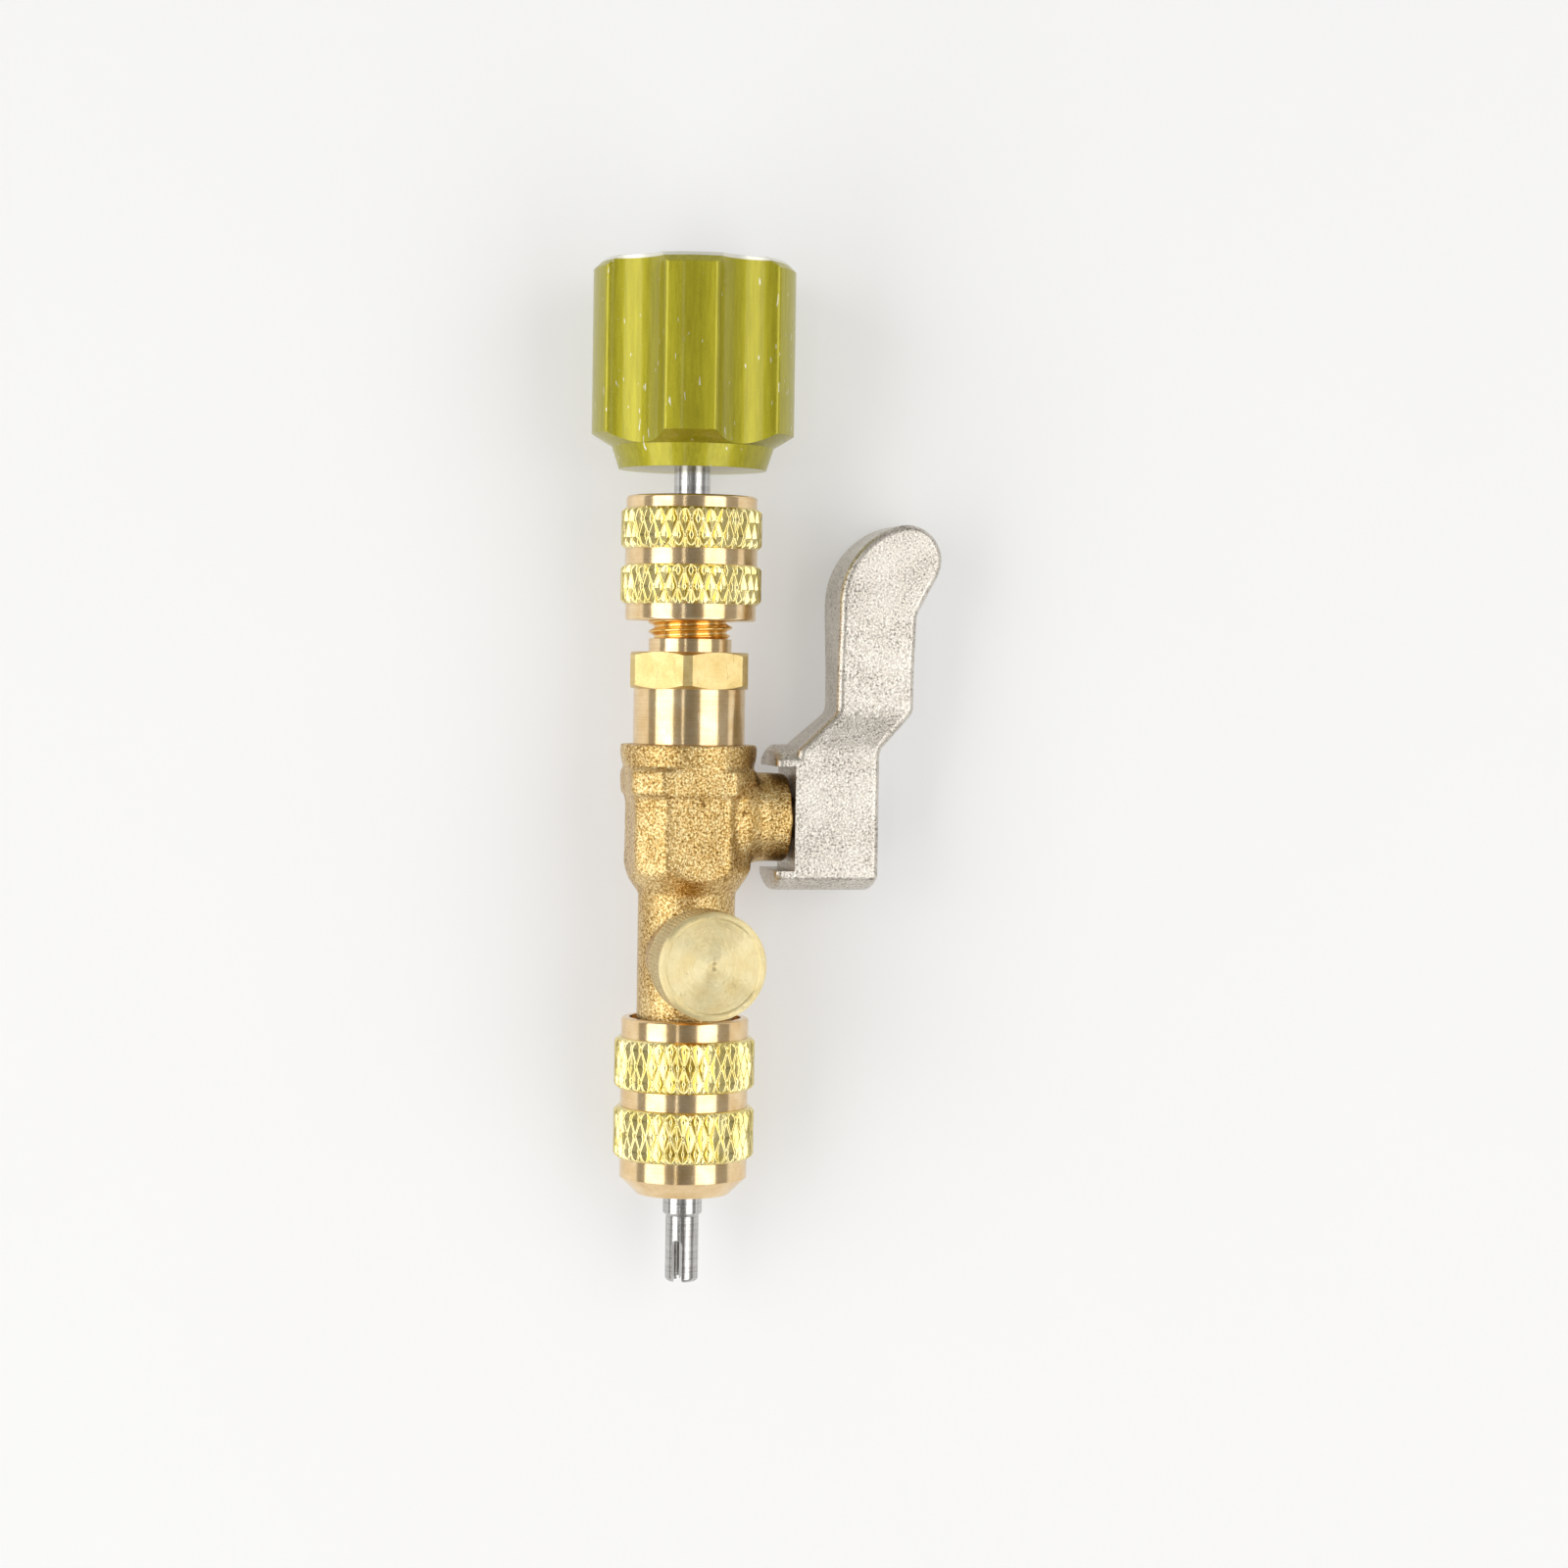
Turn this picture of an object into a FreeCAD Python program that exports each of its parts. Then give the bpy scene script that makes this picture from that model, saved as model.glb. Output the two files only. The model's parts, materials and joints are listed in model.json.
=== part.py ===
import FreeCAD, Part
import math
import os
import re

import Sketcher

# Valve core removal tool, laid on its side as it comes to rest.
# Lengths are in millimetres. The tool's own frame has Y along its long axis, towards the knob,
# X out along the stem of the ball, Z out along the side port, and its origin at the ball's centre.

X_WAY = FreeCAD.Vector(1, 0, 0)
Y_WAY = FreeCAD.Vector(0, 1, 0)
Z_WAY = FreeCAD.Vector(0, 0, 1)
UP_THE_TOOL = FreeCAD.Rotation()
OUT_THE_STEM = FreeCAD.Rotation(FreeCAD.Vector(0, 0, 1), -90)
OUT_THE_PORT = FreeCAD.Rotation(X_WAY, 90)

# Two places nearer than this, in millimetres, are the same
NEAR = 0.001

# Digits that tell two corners of a knurl apart by their angle
RIM_DIGITS = 5

SIZES = {
    # Gaps between pieces
    "running_gap": 0.05,
    "seat_gap": 0.02,
    "lever_gap": 0.2,
    # Quarter-inch flare thread, shared by the top fitting, the side port and both nuts
    "thread_radius": 5.55,
    "thread_pitch": 1.27,
    "flare_nose_radius": 3.9,
    "flare_nose_length": 1.3,
    "mouth_chamfer": 0.35,
    # Ball, its seats and the way through the tool
    "ball_radius": 5.5,
    "ball_bore_radius": 3.5,
    "seat_back": 5.9,
    "seat_radius": 5.7,
    "through_radius": 3.2,
    # Cast body
    "body_top": 9.6,
    "collar_radius": 9.06,
    "collar_lip": 2.1,
    "collar_slope": 1.1,
    "band_half_width": 8.45,
    "band_facet": 9.9,
    "band_top": 6.4,
    "band_bottom": 2.9,
    "body_half_width": 7.86,
    "body_facet": 8.6,
    "body_bottom": 8.3,
    "body_taper": 1.8,
    "stub_radius": 6.45,
    "stub_reach": 37.0,
    "socket_radius": 6.9,
    "socket_relief": 0.3,
    # Stem boss of the body
    "boss_radius": 5.95,
    "boss_flare": 1.1,
    "boss_flare_length": 2.4,
    "boss_reach": 13.2,
    # Stem, its washer and its two rings
    "stem_radius": 2.9,
    "stem_flange_radius": 3.6,
    "stem_flange_thickness": 1.0,
    "stem_flat": 2.1,
    "stem_drive_length": 8.0,
    "thrust_washer_thickness": 0.55,
    "tang_width": 2.4,
    "tang_length": 5.0,
    "tang_depth": 1.6,
    "stem_groove_radius": 2.05,
    "stem_groove_width": 1.4,
    "stem_groove_pitch": 2.3,
    "stem_seal_thickness": 0.84,
    # Top fitting with its hexagon
    "barrel_radius": 7.4,
    "barrel_length": 7.3,
    "hex_sides": 6,
    "hex_across_flats": 15.4,
    "hex_stock_radius": 8.54,
    "hex_height": 4.85,
    "hex_chamfer": 0.45,
    "neck_radius": 5.5,
    "neck_length": 1.75,
    "thread_length": 9.6,
    "adapter_groove_radius": 6.05,
    "adapter_groove_width": 1.2,
    "adapter_groove_rise": 0.9,
    "adapter_seal_thickness": 0.78,
    # Knurled nuts
    "knurl_radius": 9.3,
    "knurl_depth": 0.5,
    "knurl_starts": 34,
    "knurl_row": 2.1,
    "knurl_wall": 0.8,
    "nut_edge_round": 0.4,
    "thread_shown": 2.35,
    "upper_band_radius": 8.65,
    "upper_groove_radius": 8.75,
    "upper_foot": 2.2,
    "upper_low_knurl": 5.15,
    "upper_groove": 2.1,
    "upper_high_knurl": 5.35,
    "upper_low_row": 0.1,
    "upper_high_row": 1.65,
    "upper_rim": 1.65,
    "gasket_thickness": 1.5,
    "bush_radius": 4.6,
    "bush_length": 2.9,
    "seal_cavity_radius": 4.2,
    "seal_cavity_length": 1.9,
    "lower_band_radius": 8.45,
    "lower_top": 26.6,
    "lower_rim": 2.6,
    "lower_high_knurl": 6.8,
    "lower_groove": 2.4,
    "lower_low_knurl": 6.8,
    "lower_row": 1.4,
    "lower_foot": 2.6,
    "lower_cone": 2.2,
    "lower_end_radius": 6.2,
    "rim_recess_radius": 7.4,
    "rim_recess_depth": 1.4,
    # Ring that holds the lower nut, and the gasket at the stub's end
    "ring_inner_radius": 5.75,
    "ring_width": 1.45,
    "ring_thickness": 1.0,
    "ring_play": 0.3,
    "ring_gap_angle": 24,
    "ring_from_top": 5.2,
    "coupling_gasket_thickness": 1.4,
    # Side port and its cap
    "port_drop": 18.3,
    "port_neck_radius": 5.9,
    "port_neck_reach": 9.2,
    "port_thread_length": 6.8,
    "port_bore_radius": 2.3,
    "cap_radius": 7.0,
    "cap_standoff": 2.8,
    "cap_crown": 1.2,
    "cap_rim_round": 0.6,
    "cap_face_radius": 6.2,
    "cap_face_depth": 0.15,
    "cap_dimple_radius": 0.6,
    "cap_dimple_depth": 0.4,
    "cap_gasket_thickness": 1.0,
    # Knob
    "knob_radius": 13.38,
    "knob_gap": 3.5,
    "knob_foot_radius": 9.75,
    "knob_waist_radius": 10.7,
    "knob_foot": 2.95,
    "knob_cone": 1.55,
    "knob_grip": 21.5,
    "knob_top_chamfer": 1.3,
    "knob_socket": 16.0,
    "flute_count": 5,
    "flute_radius": 7.7,
    "flute_centre": 18.5,
    "lobe_round": 0.7,
    "set_screw_radius": 1.5,
    "set_screw_length": 4.8,
    "set_screw_rise": 1.5,
    "set_screw_key": 0.75,
    # Rod with its slotted tip
    "rod_radius": 2.4,
    "rod_head_radius": 2.6,
    "rod_draw": 68.5,
    "rod_head_end": 53.0,
    "tip_radius": 2.2,
    "tip_length": 8.8,
    "tip_bore_radius": 1.3,
    "tip_round": 0.6,
    "tip_slot_width": 1.4,
    "tip_slot_length": 5.6,
    "tip_turn": 17,
    "magnet_radius": 1.1,
    "magnet_length": 2.4,
    # Lever
    "hub_radius": 9.7,
    "hub_half_width": 5.65,
    "hub_length": 11.4,
    "hub_edge_round": 0.9,
    "ear_reach": 2.6,
    "ear_inner": 6.9,
    "crank_start": 9.0,
    "crank_left": 0.2,
    "arm_left": 19.2,
    "arm_width": 10.5,
    "arm_bottom": 14.1,
    "crank_round": 2.0,
    "crease_round": 6.0,
    "arm_half_width": 4.2,
    "arm_crease": 19.1,
    "paddle_half_width": 5.3,
    "paddle_waist": 27.1,
    "paddle_arc_radius": 10.8,
    "paddle_arc_start": 28.5,
    "paddle_tip_out": 1.7,
    "paddle_tip_up": 5.9,
    "screw_recess_radius": 3.9,
    "screw_recess_depth": 3.2,
    "screw_washer_radius": 3.6,
    "screw_washer_thickness": 0.7,
    "screw_head_radius": 3.5,
    "screw_head_height": 2.0,
    "screw_shank_radius": 1.6,
    "screw_shank_length": 6.5,
    "screw_slot_width": 0.9,
    "screw_slot_depth": 0.9,
}

# Places that follow from the sizes, as formulas of them. Stations lie along the piece's own axis.
STATIONS = {
    "port_station": "0 - port_drop",
    "seat_front": "stem_flange_radius + running_gap",
    "socket_floor": "seat_back - socket_relief",
    "hex_bottom": "body_top + barrel_length",
    "hex_top": "hex_bottom + hex_height",
    "neck_top": "hex_top + neck_length",
    "thread_top": "neck_top + thread_length",
    "nose_top": "thread_top + flare_nose_length",
    "upper_low": "neck_top + thread_shown",
    "upper_foot_top": "upper_low + upper_foot",
    "upper_groove_low": "upper_foot_top + upper_low_knurl",
    "upper_groove_high": "upper_groove_low + upper_groove",
    "upper_rim_low": "upper_groove_high + upper_high_knurl",
    "upper_high": "upper_rim_low + upper_rim",
    "gland_floor": "nose_top + gasket_thickness",
    "bush_top": "gland_floor + bush_length",
    "cavity_top": "bush_top + seal_cavity_length",
    "knob_low": "upper_high + knob_gap",
    "knob_waist": "knob_low + knob_foot",
    "knob_grip_low": "knob_waist + knob_cone",
    "knob_chamfer_low": "knob_grip_low + knob_grip",
    "knob_high": "knob_chamfer_low + knob_top_chamfer",
    "rod_high": "knob_low + knob_socket",
    "rod_head_high": "gland_floor - rod_draw",
    "rod_head_low": "0 - rod_head_end",
    "rod_low": "rod_head_low - tip_length",
    "slot_high": "rod_low + tip_slot_length",
    "magnet_face": "rod_head_low - magnet_length",
    "socket_radius_nut": "thread_radius + running_gap",
    "stub_low": "0 - stub_reach",
    "stub_bore": "stub_radius + running_gap",
    "lower_high": "0 - lower_top",
    "lower_rim_low": "lower_high - lower_rim",
    "lower_groove_high": "lower_rim_low - lower_high_knurl",
    "lower_groove_low": "lower_groove_high - lower_groove",
    "lower_knurl_low": "lower_groove_low - lower_low_knurl",
    "lower_foot_low": "lower_knurl_low - lower_foot",
    "lower_low": "lower_foot_low - lower_cone",
    "ring_outer_radius": "ring_inner_radius + ring_width",
    "ring_high": "lower_high - ring_from_top",
    "ring_low": "ring_high - ring_thickness",
    "coupling_floor": "stub_low - ring_play",
    "port_thread_top": "port_neck_reach + port_thread_length",
    "port_nose_reach": "port_thread_top + flare_nose_length",
    "cap_bottom": "port_neck_reach + cap_standoff",
    "cap_floor": "port_nose_reach + cap_gasket_thickness",
    "cap_top": "cap_floor + cap_crown",
    "tang_top": "ball_radius + running_gap",
    "flange_top": "tang_top + stem_flange_thickness",
    "boss_floor": "flange_top + thrust_washer_thickness",
    "stem_bore": "stem_radius + running_gap",
    "hub_inner": "boss_reach + lever_gap",
    "stem_top": "hub_inner + stem_drive_length",
    "hub_outer": "hub_inner + hub_length",
    "recess_floor": "hub_outer - screw_recess_depth",
    "screw_seat": "recess_floor + screw_washer_thickness",
    "stem_groove_first": "boss_floor + stem_groove_width / 2",
    "stem_groove_second": "stem_groove_first + stem_groove_pitch",
    "arm_right": "arm_left + arm_width",
}

document = FreeCAD.newDocument("valve_core_removal_tool")


def make_sheet(name, cells):
    """A sheet with one aliased cell for each entry."""
    sheet = document.addObject("Spreadsheet::Sheet", name)
    for row, (alias, content) in enumerate(cells.items(), start=1):
        sheet.set(f"A{row}", alias)
        sheet.set(f"B{row}", content)
        sheet.setAlias(f"B{row}", alias)
    return sheet


def formula(text):
    """A formula in plain words, with each word's sheet put before it."""
    def with_sheet(match):
        word = match.group()
        if word in SIZES:
            return "Sizes." + word
        if word in STATIONS:
            return "Stations." + word
        return word
    return re.sub("[a-z_]+", with_sheet, text)


sizes_sheet = make_sheet("Sizes", {alias: str(size) for alias, size in SIZES.items()})
document.recompute()
stations_sheet = make_sheet("Stations", {})
for row, (alias, text) in enumerate(STATIONS.items(), start=1):
    stations_sheet.set(f"A{row}", alias)
    stations_sheet.setAlias(f"B{row}", alias)
    own_text = formula(text).replace("Stations.", "")
    stations_sheet.set(f"B{row}", "=" + own_text)
document.recompute()


def size(alias):
    """The number that a size or a station has in its sheet."""
    sheet = sizes_sheet if alias in SIZES else stations_sheet
    return float(sheet.get(alias))


def bind(item, **formulas):
    """Tie properties of an object to formulas of the sizes."""
    for path, text in formulas.items():
        item.setExpression(path.replace("__", "."), formula(text))


def origin_feature(body, role):
    """The body's own plane or axis of that role."""
    for feature in body.Origin.OriginFeatures:
        if feature.Role == role:
            return feature


def new_sketch(body, name, plane, offset=None):
    """A sketch on one of the body's own planes, at an offset along the plane's normal."""
    sketch = body.newObject("Sketcher::SketchObject", name)
    sketch.AttachmentSupport = [(origin_feature(body, plane), "")]
    sketch.MapMode = "FlatFace"
    if offset:
        bind(sketch, AttachmentOffset__Base__z=offset)
    return sketch


def draw_outline(sketch, corners):
    """A closed outline of straight runs. Each corner is a pair of formulas, across and along."""
    first = sketch.GeometryCount
    count = len(corners)
    spread = [2 * math.pi * index / count for index in range(count + 1)]
    points = [FreeCAD.Vector(math.cos(angle), math.sin(angle), 0) for angle in spread]
    for start, end in zip(points, points[1:]):
        sketch.addGeometry(Part.LineSegment(start, end), False)
    for index in range(count):
        ending = (first + index, 2)
        starting = (first + (index + 1) % count, 1)
        sketch.addConstraint(Sketcher.Constraint("Coincident", *ending, *starting))
    for index, (across, along) in enumerate(corners):
        place(sketch, first + index, 1, across, along, points[index])


def place(sketch, geometry, end, across, along, now):
    """Hold one point of a sketch at a pair of formulas, measured from the sketch's origin."""
    for rule, text, value in (("DistanceX", across, now.x), ("DistanceY", along, now.y)):
        number = sketch.addConstraint(Sketcher.Constraint(rule, -1, 1, geometry, end, value))
        sketch.setExpression(f"Constraints[{number}]", formula(text))


def draw_circle(sketch, across, along, radius):
    """A circle whose centre and radius are formulas."""
    circle = Part.Circle(FreeCAD.Vector(0, 0, 0), FreeCAD.Vector(0, 0, 1), 1)
    number = sketch.addGeometry(circle, False)
    place(sketch, number, 3, across, along, FreeCAD.Vector(0, 0, 0))
    rule = sketch.addConstraint(Sketcher.Constraint("Radius", number, 1))
    sketch.setExpression(f"Constraints[{rule}]", formula(radius))


def turned(name, corners, rounds=None):
    """A body turned about its own Y axis. Corners are pairs of formulas, radius and station.
    Rounds gives a size for the edges that some of the corners turn."""
    body = document.addObject("PartDesign::Body", name)
    sketch = new_sketch(body, name + "_section", "XY_Plane")
    draw_outline(sketch, corners)
    turn = body.newObject("PartDesign::Revolution", name + "_turn")
    turn.Profile = sketch
    turn.ReferenceAxis = (sketch, ["V_Axis"])
    turn.Angle = 360
    sketch.Visibility = False
    if rounds:
        document.recompute()
        for alias, rounded in rounds.items():
            places = [sketch.Geometry[corners.index(corner)].StartPoint for corner in rounded]
            round_edges(body, f"{name}_{alias}", alias, turned_edges(body.Shape, places))
    return body


def turned_edges(shape, places):
    """Names of the circles about the Y axis at these radii and stations."""
    names = []
    for number, edge in enumerate(shape.Edges, start=1):
        if not isinstance(edge.Curve, Part.Circle):
            continue
        centre = edge.Curve.Center
        for point in places:
            same_radius = abs(edge.Curve.Radius - point.x) < NEAR
            if same_radius and abs(centre.y - point.y) < NEAR and abs(centre.x) + abs(centre.z) < NEAR:
                names.append(f"Edge{number}")
    return names


def round_edges(body, name, alias, names):
    """A fillet of the named size on some edges of a body."""
    base = body.Tip
    fillet = body.newObject("PartDesign::Fillet", name)
    fillet.Base = (base, names)
    bind(fillet, Radius=alias)
    document.recompute()


def pocket(body, name, sketch, length=None):
    """A cut made from a sketch to both sides of it, right through unless a length is given."""
    cut = body.newObject("PartDesign::Pocket", name)
    cut.Profile = sketch
    cut.SideType = "Symmetric"
    if length:
        cut.Type = "Length"
        bind(cut, Length=length)
    else:
        cut.Type = "ThroughAll"
    sketch.Visibility = False
    return cut


def pad(body, name, sketch, length, symmetric=True):
    """A solid pushed out of a sketch."""
    solid = body.newObject("PartDesign::Pad", name)
    solid.Profile = sketch
    if symmetric:
        solid.SideType = "Symmetric"
    bind(solid, Length=length)
    sketch.Visibility = False
    return solid


def repeat_about_axis(body, name, feature, count):
    """Copies of a feature spaced evenly about the body's Y axis."""
    pattern = body.newObject("PartDesign::PolarPattern", name)
    pattern.Originals = [feature]
    pattern.Axis = (origin_feature(body, "Y_Axis"), [""])
    pattern.Angle = 360
    bind(pattern, Occurrences=count)
    body.Tip = pattern
    return pattern


def block(name, low, high):
    """A box between two corners, each three formulas."""
    box = document.addObject("Part::Box", name)
    for side, start, end in zip(("Length", "Width", "Height"), low, high):
        box.setExpression(side, formula(f"( {end} ) - ( {start} )"))
    for letter, start in zip("xyz", low):
        box.setExpression("Placement.Base." + letter, formula(start))
    return box


def round_ring(name, middle, half_thickness):
    """A ring of round section about the Z axis."""
    torus = document.addObject("Part::Torus", name)
    bind(torus, Radius1=middle, Radius2=half_thickness)
    return torus


def join(name, *pieces):
    """One solid fused from overlapping pieces."""
    fusion = document.addObject("Part::MultiFuse", name)
    fusion.Shapes = list(pieces)
    return fusion


def cut_away(name, base, *tools):
    """A solid less the tools."""
    cut = document.addObject("Part::Cut", name)
    cut.Base = base
    cut.Tool = tools[0] if len(tools) == 1 else join(name + "_tools", *tools)
    return cut


def keep_within(name, *pieces):
    """What the pieces have in common."""
    common = document.addObject("Part::MultiCommon", name)
    common.Shapes = list(pieces)
    return common


def octagon(name, half_width, facet, low, high):
    """A square bar about the Y axis with its four corners cut off, which leaves facets of a width."""
    square = block(name + "_square", (f"0 - {half_width}", low, f"0 - {half_width}"),
                   (half_width, high, half_width))
    corners = document.addObject("PartDesign::Body", name + "_corners")
    sketch = new_sketch(corners, name + "_diamond", "XZ_Plane")
    far = f"( {half_width} + {facet} / 2 )"
    draw_outline(sketch, [(far, "0"), ("0", far), (f"0 - {far}", "0"), ("0", f"0 - {far}")])
    pad(corners, name + "_bar", sketch, f"4 * {half_width}")
    return keep_within(name, square, corners)


def make_valve_body():
    """Cast tee: ball chamber, threaded socket on top, stem boss, side port and the stub for the nut."""
    stub = turned("stub", [
        ("0", "stub_low"), ("stub_radius", "stub_low"), ("stub_radius", "ring_low - running_gap"),
        ("ring_inner_radius - running_gap", "ring_low - running_gap"),
        ("ring_inner_radius - running_gap", "ring_high + running_gap"),
        ("stub_radius", "ring_high + running_gap"), ("stub_radius", "0"), ("0", "0")])
    limit = turned("cast_limit", [
        ("0", "0 - body_bottom - body_taper"), ("stub_radius", "0 - body_bottom - body_taper"),
        ("2 * body_half_width - stub_radius", "0 - body_bottom + body_taper"),
        ("2 * body_half_width - stub_radius", "band_top"), ("0", "band_top")])
    main = octagon("cast_main", "body_half_width", "body_facet", "0 - body_bottom - body_taper", "band_top")
    chest = keep_within("cast_chest", main, limit)
    band = octagon("cast_band", "band_half_width", "band_facet", "band_bottom", "band_top")
    collar = turned("cast_collar", [
        ("0", "band_bottom"), ("body_half_width", "band_bottom"),
        ("band_half_width", "body_top - collar_lip - collar_slope"),
        ("collar_radius", "body_top - collar_lip"), ("collar_radius", "body_top"), ("0", "body_top")])
    boss = turned("stem_boss", [
        ("0", "0"), ("boss_radius + boss_flare", "0"),
        ("boss_radius + boss_flare", "body_half_width - boss_flare"),
        ("boss_radius", "body_half_width - boss_flare + boss_flare_length"),
        ("boss_radius", "boss_reach"), ("0", "boss_reach")])
    boss.Placement.Rotation = OUT_THE_STEM
    port = turned("side_port", [
        ("0", "0"), ("port_neck_radius", "0"), ("port_neck_radius", "port_neck_reach"),
        ("thread_radius", "port_neck_reach"), ("thread_radius", "port_thread_top"),
        ("flare_nose_radius", "port_nose_reach"), ("0", "port_nose_reach")])
    port.Placement.Rotation = OUT_THE_PORT
    bind(port, Placement__Base__y="port_station")
    casting = join("casting", stub, chest, band, collar, boss, port)
    way = turned("body_way", [
        ("0", "stub_low - stub_radius"), ("through_radius", "stub_low - stub_radius"),
        ("through_radius", "0 - seat_back"), ("seat_radius + running_gap", "0 - seat_back"),
        ("seat_radius + running_gap", "socket_floor"), ("socket_radius + seat_gap", "socket_floor"),
        ("socket_radius + seat_gap", "body_top + stub_radius"), ("0", "body_top + stub_radius")])
    stem_way = turned("stem_way", [
        ("0", "0"), ("stem_flange_radius + running_gap", "0"),
        ("stem_flange_radius + running_gap", "boss_floor"), ("stem_bore", "boss_floor"),
        ("stem_bore", "boss_reach + boss_radius"), ("0", "boss_reach + boss_radius")])
    stem_way.Placement.Rotation = OUT_THE_STEM
    port_way = turned("port_way", [
        ("0", "0"), ("port_bore_radius", "0"), ("port_bore_radius", "port_nose_reach + port_bore_radius"),
        ("0", "port_nose_reach + port_bore_radius")])
    port_way.Placement.Rotation = OUT_THE_PORT
    bind(port_way, Placement__Base__y="port_station")
    return cut_away("valve_body", casting, way, stem_way, port_way)


def make_flare_adapter():
    """Top fitting turned from hexagon bar: spigot, barrel, hexagon, neck, flare thread and nose."""
    body = turned("flare_adapter", [
        ("through_radius", "seat_back"), ("socket_radius", "seat_back"),
        ("socket_radius", "seat_back + adapter_groove_rise"),
        ("adapter_groove_radius", "seat_back + adapter_groove_rise"),
        ("adapter_groove_radius", "seat_back + adapter_groove_rise + adapter_groove_width"),
        ("socket_radius", "seat_back + adapter_groove_rise + adapter_groove_width"),
        ("socket_radius", "body_top"), ("barrel_radius", "body_top"), ("barrel_radius", "hex_bottom"),
        ("hex_across_flats / 2", "hex_bottom"), ("hex_stock_radius", "hex_bottom + hex_chamfer"),
        ("hex_stock_radius", "hex_top - hex_chamfer"), ("hex_across_flats / 2", "hex_top"),
        ("neck_radius", "hex_top"), ("neck_radius", "neck_top"),
        ("thread_radius", "neck_top"), ("thread_radius", "thread_top"),
        ("flare_nose_radius", "nose_top"), ("through_radius", "nose_top")])
    sketch = new_sketch(body, "hex_flat", "XZ_Plane", "0 - ( hex_bottom + hex_top ) / 2")
    draw_outline(sketch, [
        ("hex_across_flats / 2", "0 - hex_stock_radius"), ("hex_across_flats", "0 - hex_stock_radius"),
        ("hex_across_flats", "hex_stock_radius"), ("hex_across_flats / 2", "hex_stock_radius")])
    flat = pocket(body, "hex_milling", sketch, "hex_height")
    repeat_about_axis(body, "hex_flats", flat, "hex_sides")
    return body


def make_ball_seat(name, side):
    """Ring that the ball turns against, with its face hollowed to the ball."""
    blank = turned(name + "_blank", [
        ("ball_bore_radius", f"{side} * seat_front"), ("seat_radius", f"{side} * seat_front"),
        ("seat_radius", f"{side} * seat_back"), ("ball_bore_radius", f"{side} * seat_back")])
    hollow = document.addObject("Part::Sphere", name + "_hollow")
    bind(hollow, Radius="ball_radius + running_gap")
    return cut_away(name, blank, hollow)


def make_retaining_ring():
    """Split ring that sits in the stub's groove and holds the lower nut."""
    hoop = turned("hoop", [
        ("ring_inner_radius", "ring_low"), ("ring_outer_radius", "ring_low"),
        ("ring_outer_radius", "ring_high"), ("ring_inner_radius", "ring_high")])
    gap = block("hoop_gap",
                ("0", "ring_low - ring_thickness", "0 - ring_outer_radius * tan(ring_gap_angle / 2)"),
                ("2 * ring_outer_radius", "ring_high + ring_thickness",
                 "ring_outer_radius * tan(ring_gap_angle / 2)"))
    return cut_away("nut_retaining_ring", hoop, gap)


def make_ball():
    """Ball with its way through and the slot that the stem's tang turns it by."""
    sphere = document.addObject("Part::Sphere", "ball_blank")
    bind(sphere, Radius="ball_radius")
    way = turned("ball_way", [
        ("0", "0 - 2 * ball_radius"), ("ball_bore_radius", "0 - 2 * ball_radius"),
        ("ball_bore_radius", "2 * ball_radius"), ("0", "2 * ball_radius")])
    slot = block("ball_slot", ("tang_top - tang_depth - seat_gap", "0 - tang_length / 2 - ball_radius",
                               "0 - tang_width / 2 - seat_gap"),
                 ("2 * ball_radius", "tang_length / 2 + ball_radius", "tang_width / 2 + seat_gap"))
    return cut_away("ball", sphere, way, slot)


def make_valve_stem():
    """Stem put in from the chamber: tang, flange, two ring grooves, flats for the lever, tapped end."""
    groove_low = "stem_groove_first"
    groove_high = "stem_groove_second"
    blank = turned("stem_blank", [
        ("0", "tang_top"), ("stem_flange_radius", "tang_top"), ("stem_flange_radius", "flange_top"),
        ("stem_radius", "flange_top"), ("stem_radius", groove_low),
        ("stem_groove_radius", groove_low), ("stem_groove_radius", f"{groove_low} + stem_groove_width"),
        ("stem_radius", f"{groove_low} + stem_groove_width"), ("stem_radius", groove_high),
        ("stem_groove_radius", groove_high), ("stem_groove_radius", f"{groove_high} + stem_groove_width"),
        ("stem_radius", f"{groove_high} + stem_groove_width"), ("stem_radius", "stem_top"),
        ("screw_shank_radius + seat_gap", "stem_top"),
        ("screw_shank_radius + seat_gap", "screw_seat - screw_shank_length - seat_gap"),
        ("0", "screw_seat - screw_shank_length - seat_gap")])
    blank.Placement.Rotation = OUT_THE_STEM
    tang = block("stem_tang", ("tang_top - tang_depth", "0 - tang_length / 2", "0 - tang_width / 2"),
                 ("flange_top", "tang_length / 2", "tang_width / 2"))
    whole = join("stem_with_tang", blank, tang)
    front = block("stem_front_flat", ("hub_inner", "0 - 2 * stem_radius", "stem_flat"),
                  ("2 * hub_outer", "2 * stem_radius", "2 * stem_radius"))
    back = block("stem_back_flat", ("hub_inner", "0 - 2 * stem_radius", "0 - 2 * stem_radius"),
                 ("2 * hub_outer", "2 * stem_radius", "0 - stem_flat"))
    return cut_away("valve_stem", whole, front, back)


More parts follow.
